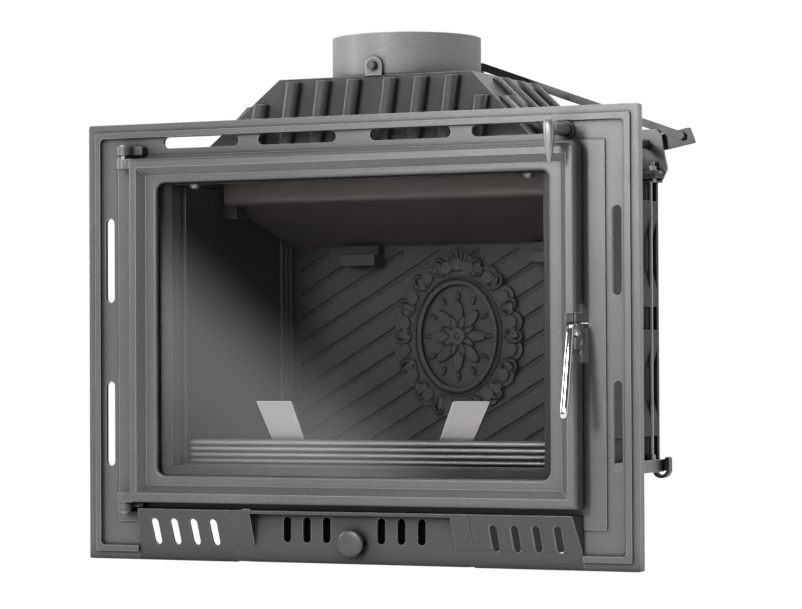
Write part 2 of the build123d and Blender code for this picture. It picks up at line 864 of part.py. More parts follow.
with BuildPart() as dome:
    loft(dome_shell(0, dome_base, dome_top), ruled=True)
    front_slope = (dome_top_front - dome_front) / rise
    rear_slope = (body_rear - dome_top_rear) / rise
    side_slope = (body_half - dome_top_half) / rise
    rib_foot = 4.0
    for side in (-1, 1):
        for step in range(rib_count + 1):
            x = side * (rib_inner + step * rib_pitch)
            top = rise - 5 - (rib_short_drop if step == rib_count else 0)
            front_foot = (x, dome_front + front_slope * rib_foot - flue_setback, dome_base + rib_foot)
            front_head = (x, dome_front + front_slope * top - flue_setback, dome_base + top)
            rib_on_slope(front_foot, front_head, (1, 0, 0))
            rear_foot = (x, body_rear - rear_slope * rib_foot - flue_setback, dome_base + rib_foot)
            rear_head_point = (x, body_rear - rear_slope * top - flue_setback, dome_base + top)
            rib_on_slope(rear_foot, rear_head_point, (-1, 0, 0))
        for step in range(-1, side_rib_count + 1):
            y = side_rib_first + step * side_rib_pitch - flue_setback
            short = step in (-1, side_rib_count)
            y -= side_rib_rear_shift if step == side_rib_count else 0
            top = rise - 5 - (rib_short_drop if short else 0)
            x_foot = side * (body_half - side_slope * rib_foot)
            x_head = side * (body_half - side_slope * top)
            foot_point = (x_foot, y, dome_base + rib_foot)
            rib_on_slope(foot_point, (x_head, y, dome_base + top), (0, side, 0))
    loft(dome_shell(dome_wall, wall_top, dome_top - dome_wall + 1), ruled=True, mode=Mode.SUBTRACT)
    flue_hole = flue_way + 4
    rod_z_way(0, flue_setback, (dome_top - dome_wall - 2, dome_top + 1), flue_hole, Mode.SUBTRACT)
    # room round each nut
    for side in (-1, 1):
        for depth in (rod_front, rod_rear):
            rod_z_way(side * rod_x, depth, (dome_base, dome_base + 14), 8, Mode.SUBTRACT)
        rod_z_way(side * lintel_x, lintel_y, (dome_base, dome_base + 14), 9, Mode.SUBTRACT)
save(dome, "dome")

with BuildPart() as dome_flange:
    dome_edge = throat_rear - throat_depth + 1
    block((-plate_half, plate_half), (dome_edge, plate_rear), (wall_top, dome_base))
    # ear for the shaft bracket
    ear_rear = shaft_plate_front
    block((body_half, plate_half + ear_reach), (ear_rear - ear_depth, ear_rear), (wall_top, dome_base))
    loft(dome_shell(dome_wall, wall_top - 1, dome_base + 1), ruled=True, mode=Mode.SUBTRACT)
    flange_span = (wall_top - 1, dome_base + 1)
    for side in (-1, 1):
        rod_z_way(side * lintel_x, lintel_y, flange_span, lintel_radius, Mode.SUBTRACT)
        for depth in (rod_front, rod_rear):
            rod_z_way(side * rod_x, depth, flange_span, rod_radius, Mode.SUBTRACT)
    stud_x = shaft_x + stud_side
    stud_y = shaft_plate_front - 10
    rod_z_way(stud_x, stud_y, flange_span, rod_radius, Mode.SUBTRACT)
save(dome_flange, "dome_flange")

with BuildPart() as lintel_bolts:
    for side in (-1, 1):
        rod_z_way(side * lintel_x, lintel_y, (opening_head, dome_base + 9), lintel_radius)
        with Locations((side * lintel_x, lintel_y - flue_setback, opening_head)):
            Sphere(7.5)
        head_x = (side * lintel_x - 10, side * lintel_x + 10)
        head_y = (lintel_y - 10, lintel_y + 10)
        block(head_x, head_y, (opening_head, opening_head + 10), Mode.SUBTRACT)
        block(head_x, head_y, (opening_head - 12, opening_head - 5.5), Mode.SUBTRACT)
        rod_z_way(side * lintel_x, lintel_y, (opening_head - 1, dome_base + 9), lintel_radius)
save(lintel_bolts, "lintel_bolts")

with BuildPart() as lintel_nuts:
    for side in (-1, 1):
        hexagon_z(side * lintel_x, lintel_y, dome_base, 6.5, 13)
        rod_z_way(side * lintel_x, lintel_y, (dome_base - 1, dome_base + 8), lintel_radius, Mode.SUBTRACT)
save(lintel_nuts, "lintel_nuts")

# ---------------------------------------------------------------- flue collar
bore_radius = axle_radius + running_gap
with BuildPart() as flue_collar:
    rod_z_way(0, flue_setback, (dome_top, collar_top), collar_radius)
    rod_z_way(0, flue_setback, (dome_top - spigot_depth, dome_top), flue_hole)
    # hoods round the ends of the damper axle
    collar_front = flue_setback - collar_radius
    collar_rear = flue_setback + collar_radius
    for ys in ((boss_front, collar_front + 12), (collar_rear - 12, collar_rear + 8)):
        rod_y_way(0, axle_height, ys, boss_radius)
        block((-boss_radius, boss_radius), ys, (dome_top, axle_height))
    rod_z_way(0, flue_setback, (dome_top - spigot_depth - 1, collar_top + 1), flue_way, Mode.SUBTRACT)
    rod_z_way(0, flue_setback, (collar_top - socket_depth, collar_top + 1), socket_radius, Mode.SUBTRACT)
    rod_y_way(0, axle_height, (boss_front - 1, collar_rear + 9), bore_radius, Mode.SUBTRACT)
save(flue_collar, "flue_collar")

# ---------------------------------------------------------------- damper
crank_rear = crank_front + crank_thickness
screw_depths = (flue_setback - 42, flue_setback + 42)
screw_radius = 2.5
with BuildPart() as damper_axle:
    rod_y_way(0, axle_height, (axle_front, crank_rear + 2), axle_radius)
    for depth in screw_depths:
        screw_way = (axle_height - 2 * damper_hub, axle_height + 2 * damper_hub)
        rod_z_way(0, depth, screw_way, screw_radius, Mode.SUBTRACT)
save(damper_axle, "damper_axle")

with BuildPart() as damper_plate:
    half_thick = damper_thickness / 2
    rod_z_way(0, flue_setback, (axle_height - half_thick, axle_height + half_thick), damper_radius)
    rod_y_way(0, axle_height, (flue_setback - 66, flue_setback + 66), damper_hub)
    rod_y_way(0, axle_height, (axle_front, crank_rear), axle_radius, Mode.SUBTRACT)
    for depth in screw_depths:
        screw_way = (axle_height - 2 * damper_hub, axle_height + 2 * damper_hub)
        rod_z_way(0, depth, screw_way, screw_radius, Mode.SUBTRACT)
save(damper_plate, "damper_plate")

with BuildPart() as damper_screws:
    for depth in screw_depths:
        rod_z_way(0, depth, (axle_height - damper_hub, axle_height + damper_hub), screw_radius)
        rod_z_way(0, depth, (axle_height + damper_hub, axle_height + damper_hub + 3), 4.5)
save(damper_screws, "damper_screws")

lever_pin_x = crank_reach_x
lever_pin_z = axle_height + crank_reach_z
with BuildPart() as damper_lever:
    with BuildSketch(facing(crank_rear)):
        with Locations((0, axle_height)):
            Circle(9)
        with Locations((lever_pin_x, lever_pin_z)):
            Circle(7)
        make_hull()
    extrude(amount=crank_thickness)
    rod_y_way(0, axle_height, (crank_front - 1, crank_rear + 1), axle_radius, Mode.SUBTRACT)
    rod_y_way(lever_pin_x, lever_pin_z, (crank_front - 1, crank_rear + 1), pin_radius, Mode.SUBTRACT)
save(damper_lever, "damper_lever")


def rivet(x, z):
    """Pin through crank and link, with a head on each end."""
    rod_y_way(x, z, (link_front - 1, crank_rear + 1), pin_radius)
    rod_y_way(x, z, (link_front - 3, link_front - 0.5), pin_head)
    rod_y_way(x, z, (crank_rear, crank_rear + 2), pin_head)


with BuildPart() as damper_lever_pin:
    rivet(lever_pin_x, lever_pin_z)
save(damper_lever_pin, "damper_lever_pin")

# ---------------------------------------------------------------- front shaft, crank and link
crank_pin_x = shaft_x + crank_reach_x
crank_pin_z = shaft_z + crank_reach_z
with BuildPart() as damper_shaft:
    rod_y_way(shaft_x, shaft_z, (handle_front + handle_depth - 4, crank_rear + 2), axle_radius)
save(damper_shaft, "damper_shaft")

with BuildPart() as damper_crank:
    with BuildSketch(facing(crank_rear)):
        with Locations((shaft_x, shaft_z)):
            Circle(10)
        tip_x = shaft_x + crank_reach_x
        with Locations((tip_x + 14.4, shaft_z + 3), (tip_x + 8.4, shaft_z + crank_reach_z + 8.4)):
            Circle(2)
        make_hull()
    extrude(amount=crank_thickness)
    rod_y_way(shaft_x, shaft_z, (crank_front - 1, crank_rear + 1), axle_radius, Mode.SUBTRACT)
    rod_y_way(crank_pin_x, crank_pin_z, (crank_front - 1, crank_rear + 1), pin_radius, Mode.SUBTRACT)
save(damper_crank, "damper_crank")

with BuildPart() as crank_pin:
    rivet(crank_pin_x, crank_pin_z)
save(crank_pin, "crank_pin")

with BuildPart() as link_bar:
    with BuildSketch(facing(link_front + link_thickness)):
        knee = (lever_pin_x + 8, lever_pin_z + link_crook)
        with Locations((crank_pin_x, crank_pin_z), knee):
            Circle(link_width / 2)
        make_hull()
        with BuildSketch(mode=Mode.PRIVATE) as far_eye:
            with Locations((lever_pin_x, lever_pin_z), knee):
                Circle(link_width / 2)
            make_hull()
        add(far_eye.sketch)
    extrude(amount=link_thickness)
    link_span = (link_front - 1, link_front + link_thickness + 1)
    rod_y_way(crank_pin_x, crank_pin_z, link_span, pin_radius + running_gap, Mode.SUBTRACT)
    rod_y_way(lever_pin_x, lever_pin_z, link_span, pin_radius + link_slack, Mode.SUBTRACT)
save(link_bar, "link_bar")

with BuildPart() as damper_handle:
    # hub towards the frame
    hub_rear = -bush_flange - 0.8
    handle_rear = handle_front + handle_depth
    rod_y_way(shaft_x, shaft_z, (handle_rear - 3, hub_rear + field_recess), handle_hub)
    # horn that hangs down, widest at the shaft
    handle_mid = (handle_front + handle_rear) / 2
    horn = (
        (shaft_z + handle_rise, 0.5, 0.6),
        (shaft_z, 1.0, 1.0),
        (shaft_z - 0.57 * handle_drop, 0.72, 0.8),
        (shaft_z - handle_drop, 0.22, 0.35),
    )
    sections = []
    for height, share_x, share_y in horn:
        with BuildSketch(level(height)) as section:
            with Locations((shaft_x, handle_mid)):
                RectangleRounded(
                    2 * handle_half * share_x,
                    handle_depth * share_y,
                    0.3 * handle_depth * min(share_x, share_y),
                )
        sections.append(section.sketch)
    loft(sections)
    rod_y_way(shaft_x, shaft_z, (handle_rear - 4, hub_rear + field_recess + 1), axle_radius, Mode.SUBTRACT)
save(damper_handle, "damper_handle")

with BuildPart() as damper_bush:
    rod_y_way(shaft_x, shaft_z, (field_recess - bush_flange, field_recess), bush_radius)
    rod_y_way(shaft_x, shaft_z, (field_recess, frame_thickness + 6), bush_barrel)
    rod_y_way(shaft_x, shaft_z, (-8, frame_thickness + 8), bore_radius, Mode.SUBTRACT)
save(damper_bush, "damper_bush")

with BuildPart() as shaft_bracket:
    plate_rear_face = shaft_plate_front + shaft_plate
    with BuildSketch(facing(plate_rear_face)):
        outline(
            (plate_half - 8, wall_top),
            (plate_half - 8, shaft_z + 6.5),
            (shaft_x - 6, shaft_z + 19.5),
            (shaft_x + 13, shaft_z + 19.5),
            (shaft_x + 19, shaft_z + 12.5),
            (shaft_x + 22, shaft_z - 9.5),
            (shaft_x + 26.6, dome_base + 6),
            (shaft_x + 19, wall_top - 3),
            (plate_half + 1, wall_top - 3),
            (plate_half + 1, wall_top),
        )
    extrude(amount=shaft_plate)
    with BuildSketch(facing(plate_rear_face)):
        panel(plate_half - 10, plate_half, wall_top - 8, dome_base)
    extrude(amount=shaft_plate, mode=Mode.SUBTRACT)
    foot_y = (shaft_plate_front - 18, shaft_plate_front)
    block((plate_half + 2, plate_half + ear_reach), foot_y, (dome_base, dome_base + 3))
    rod_y_way(shaft_x, shaft_z, (shaft_plate_front - 1, plate_rear_face + 1), bore_radius, Mode.SUBTRACT)
    rod_z_way(stud_x, stud_y, (dome_base - 1, dome_base + 4), rod_radius, Mode.SUBTRACT)
save(shaft_bracket, "shaft_bracket")

with BuildPart() as bracket_stud:
    rod_z_way(stud_x, stud_y, (wall_top - 4, dome_base + 17), rod_radius)
save(bracket_stud, "bracket_stud")

with BuildPart() as bracket_nuts:
    rod_z_way(stud_x, stud_y, (dome_base + 3, dome_base + 4.5), 7)
    hexagon_z(stud_x, stud_y, dome_base + 4.5, nut_height, nut_flats)
    hexagon_z(stud_x, stud_y, wall_top - nut_height, nut_height, nut_flats)
    rod_z_way(stud_x, stud_y, (wall_top - 9, dome_base + 20), rod_radius, Mode.SUBTRACT)
save(bracket_nuts, "bracket_nuts")

# ---------------------------------------------------------------- door
def rope_ring(play):
    """Ring of the rope's width, drawn in on both sides by play."""
    outer_x = 2 * (door_half - rope_inset - play)
    outer_z = door_head - door_foot - 2 * (rope_inset_high + play)
    inner_x = 2 * (door_half - rope_inset - rope - 2 * rope_play + play)
    inner_z = door_head - door_foot - 2 * (rope_inset_high + rope + 2 * rope_play - play)
    with Locations((0, (door_foot + door_head) / 2)):
        RectangleRounded(outer_x, outer_z, 12)
        RectangleRounded(inner_x, inner_z, 5, mode=Mode.SUBTRACT)


with BuildPart() as door_frame:
    with BuildSketch(facing(door_back)):
        panel(-door_half, door_half, door_foot, door_head, 3)
    extrude(amount=door_back - door_front)
    fillet(door_frame.faces().sort_by(Axis.Y)[0].edges(), radius=5)

    def door_rectangle(inset, depth):
        with BuildSketch(facing(depth)) as face:
            panel(inset - door_half, door_half - inset, door_foot + inset, door_head - inset)
        return face.sketch

    loft(
        (
            door_rectangle(door_rim, door_front),
            door_rectangle(door_rim + door_bevel, door_flat),
        ),
        ruled=True,
        mode=Mode.SUBTRACT,
    )
    with BuildSketch(facing(door_front - 1)):
        panel(-window_half, window_half, window_foot, window_head, window_corner)
    extrude(amount=-(door_back - door_front + 2), mode=Mode.SUBTRACT)
    lip = (
        door_frame.edges()
        .filter_by_position(Axis.Y, door_flat - flue_setback - 0.01, door_flat - flue_setback + 0.01)
        .filter_by_position(Axis.X, -window_half - 0.1, window_half + 0.1)
        .filter_by_position(Axis.Z, window_foot - 0.1, window_head + 0.1)
    )
    fillet(lip, radius=3.5)
    # glass pocket and rope channel at the back
    pocket_half = window_half + glass_lap + 2
    pocket_foot = window_foot - glass_lap - 2
    pocket_head = window_head + glass_lap + 2
    with BuildSketch(facing(door_back)):
        panel(-pocket_half, pocket_half, pocket_foot, pocket_head, 6)
    extrude(amount=glass_pocket, mode=Mode.SUBTRACT)
    with BuildSketch(facing(door_back)):
        rope_ring(0)
    extrude(amount=5, mode=Mode.SUBTRACT)
    # hinge eyes
    eye_spans = ((door_head - door_eye_height, door_head), (door_foot, door_foot + door_eye_height))
    for span in eye_spans:
        rod_z_way(hinge_x, hinge_y, span, hinge_eye)
        block((hinge_x, 6 - door_half), (hinge_y - 8, hinge_y + hinge_eye), span)
        rod_z_way(hinge_x, hinge_y, span, hinge_pin + running_gap, Mode.SUBTRACT)
    # notch for the lever
    notch_z = (notch_foot, notch_head)
    block((lever_left - 1, door_half + 1), (door_front - 1, door_back + 1), notch_z, Mode.SUBTRACT)
    rod_x_way(lever_y, lever_z, (lever_left - 14, lever_left), lever_pin, Mode.SUBTRACT)
save(door_frame, "door_frame")

seal_front = door_back - glass_pocket
glass_front = seal_front + seal_thickness
pane_half = window_half + glass_lap
with BuildPart() as door_glass:
    with BuildSketch(facing(glass_back)):
        panel(-pane_half, pane_half, window_foot - glass_lap, window_head + glass_lap, 4)
    extrude(amount=glass_thickness)
save(door_glass, "door_glass")

with BuildPart() as glass_seal:
    with BuildSketch(facing(glass_front)):
        panel(-pane_half, pane_half, window_foot - glass_lap, window_head + glass_lap, 4)
        seal_width = 2 * window_half + 2
        seal_height = window_head - window_foot + 2
        with Locations((0, (window_foot + window_head) / 2)):
            RectangleRounded(seal_width, seal_height, window_corner, mode=Mode.SUBTRACT)
    extrude(amount=seal_thickness)
save(glass_seal, "glass_seal")

clip_half = 6.0
clip_land = 7.2
clip_screw = 4.6
clip_places = []
for side in (-1, 1):
    for share in (0.16, 0.84):
        clip_places.append((side * pane_half, door_foot + share * (door_head - door_foot), side, 0))
    for share in (0.35, 0.65):
        clip_places.append((door_half * 2 * (share - 0.5), pane_half, 0, side))
clip_rear = door_back + 1.5

with BuildPart() as glass_clips:
    for x, z, side_x, side_z in clip_places:
        if side_z:
            across_clip = (x - clip_half, x + clip_half)
            z = window_head + glass_lap if side_z > 0 else window_foot - glass_lap
            block(across_clip, (door_back, clip_rear), (z - side_z * 5, z + side_z * clip_land))
            block(across_clip, (glass_back, clip_rear), (z - side_z * 5, z - side_z * 0.5))
        else:
            across_clip = (z - clip_half, z + clip_half)
            block((x - side_x * 5, x + side_x * clip_land), (door_back, clip_rear), across_clip)
            block((x - side_x * 5, x - side_x * 0.5), (glass_back, clip_rear), across_clip)
save(glass_clips, "glass_clips")

with BuildPart() as clip_screws:
    for x, z, side_x, side_z in clip_places:
        if side_z:
            z = window_head + glass_lap if side_z > 0 else window_foot - glass_lap
            rod_y_way(x, z + side_z * clip_screw, (clip_rear, clip_rear + 1.2), 2.4)
        else:
            rod_y_way(x + side_x * clip_screw, z, (clip_rear, clip_rear + 1.2), 2.4)
save(clip_screws, "clip_screws")

with BuildPart() as door_rope_seal:
    rope_rear = surround_face - fit_gap
    with BuildSketch(facing(rope_rear)):
        rope_ring(rope_play)
    extrude(amount=rope_rear - door_back + 5)
save(door_rope_seal, "door_rope_seal")

with BuildPart() as hinge_pins:
    for span, eye in zip(knuckle_spans, eye_spans):
        rod_z_way(hinge_x, hinge_y, (min(span[0], eye[0] + 1), max(span[1], eye[1] - 1)), hinge_pin)
        head = span[1] if span[0] > eye[0] else span[0] - 2
        rod_z_way(hinge_x, hinge_y, (head, head + 2), hinge_pin + 1.5)
save(hinge_pins, "hinge_pins")

# ---------------------------------------------------------------- door lever
lever_right = lever_left + lever_width
with BuildPart() as pivot_pin:
    rod_x_way(lever_y, lever_z, (lever_left - 14, lever_right + 3.4), lever_pin)
save(pivot_pin, "lever_pin")

with BuildPart() as door_lever:
    hub = 8.0
    rod_x_way(lever_y, lever_z, (lever_left + fit_gap, lever_right), hub)
    with BuildSketch(across(lever_left + fit_gap)):
        outline(
            (lever_y, lever_z + 7),
            (lever_y, lever_z - 8),
            (lever_y - 17, lever_z - 6),
            (lever_y - 17, lever_z + 9),
        )
    extrude(amount=lever_width - fit_gap)
    # grip leaning out towards its foot
    grip_top = (lever_y - 15, lever_z + 9)
    grip_foot = (lever_foot_y + lever_thickness / 2, lever_foot)
    with BuildSketch(across(lever_left + 3.5)):
        outline(
            grip_top,
            (grip_top[0] - lever_thickness, grip_top[1] - 1.5),
            (grip_foot[0] - lever_thickness, grip_foot[1]),
            grip_foot,
        )
    extrude(amount=lever_width - 3.5)
    rod_x_way(lever_y, lever_z, (lever_left - 1, lever_right + 1), lever_pin + running_gap, Mode.SUBTRACT)
save(door_lever, "door_lever")

# claw that hangs in front of the keeper pin
claw_tip = (lever_y - 6, lever_z - claw_reach)
hub_rear_point = (lever_y + 0.79 * claw_hub, lever_z + 0.613 * claw_hub)
hub_front_point = (lever_y - 0.79 * claw_hub, lever_z - 0.613 * claw_hub)
with BuildPart() as latch_cam:
    with BuildSketch(across(lever_right)):
        with BuildLine():
            Spline(hub_rear_point, (lever_y + 10.6, lever_z - 8.5), claw_tip)
            Spline(claw_tip, (lever_y + 0.5, lever_z - 16), hub_front_point)
            crown = (lever_y - 0.613 * claw_hub, lever_z + 0.79 * claw_hub)
            ThreePointArc(hub_front_point, crown, hub_rear_point)
        make_face()
    extrude(amount=cam_thickness)
    rod_x_way(lever_y, lever_z, (lever_right - 1, lever_right + 5), lever_pin + running_gap, Mode.SUBTRACT)
save(latch_cam, "latch_cam")

with BuildPart() as latch_keeper:
    rod_x_way(keeper_y, keeper_z, keeper_span, keeper_radius)
save(latch_keeper, "latch_keeper")

# ---------------------------------------------------------------- ash box and drawer
with BuildPart() as ash_box:
    box_front = frame_thickness + 1
    block((-ash_box_half, ash_box_half), (box_front, ash_box_rear), (0, plate_foot))
    box_lip = ash_box_half + 18
    block((-box_lip, box_lip), (throat_rear + wall, ash_box_rear), (plate_foot - sheet, plate_foot))
    block(
        (sheet - ash_box_half, ash_box_half - sheet),
        (box_front - 1, ash_box_rear - sheet),
        (sheet, plate_foot + 1),
        Mode.SUBTRACT,
    )
    block(
        (-ash_box_half - 1, ash_box_half + 1),
        (box_front - 1, throat_rear + wall + fit_gap),
        (plate_foot - rim_drop - fit_gap, plate_foot + 1),
        Mode.SUBTRACT,
    )
save(ash_box, "ash_box")

drawer_half = seam - seam_gap
with BuildPart() as drawer_front:
    with BuildSketch(across(-drawer_half)):
        outline(
            (0, drawer_lift),
            (0, apron_bend),
            (-apron_reach, apron_top),
            (apron_wall, apron_top),
            (apron_wall, drawer_lift),
        )
    extrude(amount=2 * drawer_half)
    panel_half = drawer_half - cheek
    block(
        (-panel_half, panel_half),
        (-apron_reach - 1, 0),
        (drawer_lift - 1, apron_top - apron_wall),
        Mode.SUBTRACT,
    )
    for side in (-1, 1):
        with BuildSketch(across(side * (panel_half + apron_wall))):
            outline(*apron_hollow)
        extrude(amount=side * (cheek - 2 * apron_wall), mode=Mode.SUBTRACT)
    # runners of the air shutter
    shutter_front = apron_wall + fit_gap
    shutter_rear = shutter_front + shutter_thickness
    runner_half = panel_half - 2
    runner_rear = shutter_rear + fit_gap + 2
    runner_foot = air_slot_foot - 3.5
    runner_head = air_slot_head + 3.5
    lap = 2.5
    block((-runner_half, runner_half), (apron_wall - 1, runner_rear), (runner_foot - 3, runner_foot - fit_gap))
    block((-runner_half, runner_half), (shutter_rear + fit_gap, runner_rear), (runner_foot - 1, runner_foot + lap))
    block((-runner_half, runner_half), (apron_wall - 1, runner_rear), (runner_head + fit_gap, runner_head + 3))
    block((-runner_half, runner_half), (shutter_rear + fit_gap, runner_rear), (runner_head - lap, runner_head + 1))
    # air slots
    with BuildSketch(facing(-1)):
        for side in (-1, 1):
            for step in range(3):
                slot_x = side * (air_slot_inner + step * air_slot_pitch)
                with Locations((slot_x, (air_slot_foot + air_slot_head) / 2)):
                    SlotOverall(air_slot_head - air_slot_foot, slot_width, rotation=90)
        stem_way = stem_radius + fit_gap
        with Locations((air_travel / 2, knob_z)):
            SlotCenterToCenter(air_travel, 2 * stem_way)
    extrude(amount=-(apron_wall + 2), mode=Mode.SUBTRACT)
    # bosses that carry the pan
    boss_x = panel_half - 10
    boss_z = 12.0
    for side in (-1, 1):
        rod_y_way(side * boss_x, boss_z, (apron_wall - 1, pan_front), 5)
save(drawer_front, "drawer_front")

with BuildPart() as air_shutter:
    shutter_half = air_slot_inner + 2 * air_slot_pitch + 14
    block((-shutter_half, shutter_half), (shutter_front, shutter_rear), (runner_foot, runner_head))
    with BuildSketch(facing(shutter_front - 1)):
        for side in (-1, 1):
            for step in range(3):
                slot_x = side * (air_slot_inner + step * air_slot_pitch)
                with Locations((slot_x, (air_slot_foot + air_slot_head) / 2)):
                    SlotOverall(air_slot_head - air_slot_foot, slot_width, rotation=90)
    extrude(amount=-(shutter_thickness + 2), mode=Mode.SUBTRACT)
save(air_shutter, "air_shutter")

with BuildPart() as air_knob:
    rod_y_way(0, knob_z, (knob_front, knob_front + knob_thickness), knob_radius)
    fillet(air_knob.edges().filter_by(GeomType.CIRCLE).sort_by(Axis.Y)[0], radius=2)
    rod_y_way(0, knob_z, (knob_front + knob_thickness, shutter_front), stem_radius)
save(air_knob, "air_knob")

with BuildPart() as ash_pan:
    pan_foot = sheet + fit_gap
    block((-pan_half, pan_half), (pan_front, pan_rear), (pan_foot, pan_foot + pan_height))
    block(
        (pan_sheet - pan_half, pan_half - pan_sheet),
        (pan_front + pan_sheet, pan_rear - pan_sheet),
        (pan_foot + pan_sheet, pan_foot + pan_height + 1),
        Mode.SUBTRACT,
    )
save(ash_pan, "ash_pan")

with BuildPart() as pan_screws:
    for side in (-1, 1):
        rod_y_way(side * boss_x, boss_z, (pan_front + pan_sheet, pan_front + pan_sheet + 2.5), 4.5)
save(pan_screws, "pan_screws")

# ---------------------------------------------------------------- rear lugs
lug_foot = plate_foot - rim_drop + 1
lug_tip = plate_half + lug_beyond
curl_z = lug_foot + 2
with BuildPart() as rear_lugs:
    block((lug_tip - lug_length, lug_tip - 1), (plate_rear, plate_rear + strip), (lug_foot, floor_top))
    # end curled round under the plate and up beside it
    with BuildSketch(facing(plate_rear + strip)):
        with Locations((lug_tip - curl, curl_z)):
            Circle(curl)
            Circle(curl - strip, mode=Mode.SUBTRACT)
        with Locations((lug_tip - curl, plate_foot - rim_drop + curl)):
            Rectangle(2 * curl, 2 * curl, mode=Mode.SUBTRACT)
        panel(lug_tip - strip, lug_tip, plate_foot - rim_drop, floor_top)
        with Locations((lug_tip - 0.75 * strip, floor_top)):
            Circle(0.75 * strip)
    extrude(amount=lug_width)
    mirror(about=Plane.YZ)
save(rear_lugs, "rear_lugs")

with BuildPart() as lug_bolts:
    for side in (-1, 1):
        with BuildSketch(facing(plate_rear + strip)):
            with Locations((side * (plate_half - bolt_inset), (lug_foot + floor_top) / 2)):
                RegularPolygon(nut_flats / 2, 6, major_radius=False)
        extrude(amount=-nut_height)
save(lug_bolts, "lug_bolts")
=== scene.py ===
"""Fireplace insert: finishes of its castings, steel and glass, and the pieces modelled here.

Modelled here are the door's rope and tape, its lever, the damper handle, the air knob and the
carving of the fireback's medallion.
"""

from math import atan2, cos, radians, sin, tau

import bmesh
import bpy
from mathutils import Matrix, Vector


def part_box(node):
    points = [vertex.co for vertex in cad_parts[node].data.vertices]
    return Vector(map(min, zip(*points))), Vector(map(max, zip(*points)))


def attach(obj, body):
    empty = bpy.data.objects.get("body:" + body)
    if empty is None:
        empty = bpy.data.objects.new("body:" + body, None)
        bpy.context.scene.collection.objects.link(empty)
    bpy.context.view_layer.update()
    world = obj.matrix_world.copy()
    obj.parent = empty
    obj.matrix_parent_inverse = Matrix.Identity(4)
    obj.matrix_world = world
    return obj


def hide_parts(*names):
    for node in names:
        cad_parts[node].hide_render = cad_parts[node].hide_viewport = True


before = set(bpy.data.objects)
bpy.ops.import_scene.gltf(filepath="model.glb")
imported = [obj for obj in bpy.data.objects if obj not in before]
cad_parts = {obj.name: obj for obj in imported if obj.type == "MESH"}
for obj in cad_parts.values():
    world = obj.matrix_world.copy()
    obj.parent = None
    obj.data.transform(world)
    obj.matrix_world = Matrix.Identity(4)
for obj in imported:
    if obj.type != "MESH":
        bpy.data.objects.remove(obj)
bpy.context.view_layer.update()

bl_info = {
    "name": "Fireplace insert",
    "version": (1, 0, 0),
    "blender": (4, 5, 0),
    "location": "3D View > Sidebar > Insert",
    "description": "Finishes, carving, door furniture and stage of a cast-iron fireplace insert",
    "category": "Object",
}

MM = 0.001
WHITE = (1.0, 1.0, 1.0, 1.0)
X_WAY = Vector((1, 0, 0))
Y_WAY = Vector((0, 1, 0))

# places in millimetres: from the middle, from the front of the frame and from the ground
FLUE_SETBACK = 162.0  # front of the frame to the flue axis, where the model has its origin
MEDALLION_GROUND = (0.0, 321.0, 281.0)  # middle of the face that carries the carving
LEVER_PIN = (297.2, -14.0, 283.0)
HANDLE_SIDE, HANDLE_HEIGHT = 281.0, 521.5  # axis of the damper shaft

# painted light and shade: shares of the stove paint's colour, darker for the dome and the knob and
# lighter for the handle, and of the andirons' colour, darker for the log guard
DOME_SHADE, HANDLE_HIGHLIGHT, KNOB_SHADE, GUARD_SHADE = 0.85, 2.4, 0.65, 0.8

OUTER_CASTINGS = (
    "front_frame",
    "hinge_knuckles",
    "door_frame",
    "hearth_plate",
    "shaft_bracket",
    "damper_bush",
)
BODY_CASTINGS = ("dome_flange", "left_wall", "right_wall", "back_wall")
APRON_CASTINGS = ("left_grille", "right_grille", "drawer_front")
FIREBOX_CASTINGS = (
    "fireback",
    "left_liner",
    "right_liner",
    "grate",
    "baffle_brackets",
)
ANDIRONS = ("left_andiron", "right_andiron")
# painted shade: the sheet steel behind the slots is kept near black
SHADE_DARK_SHEET = ("ash_box", "ash_pan", "air_shutter")
DARK_STEEL = (
    "damper_axle",
    "damper_plate",
    "damper_lever",
    "damper_crank",
    "link_bar",
    "damper_shaft",
    "rear_lugs",
    "glass_clips",
    "crank_pin",
    "damper_lever_pin",
)
LATCH_STEEL = ("latch_cam", "latch_keeper")
FASTENERS = (
    "grille_screws",
    "tie_rods",
    "tie_washers",
    "tie_nuts",
    "lintel_bolts",
    "lintel_nuts",
    "bracket_stud",
    "bracket_nuts",
    "hinge_pins",
    "lug_bolts",
    "clip_screws",
    "lever_pin",
    "pan_screws",
    "damper_screws",
)


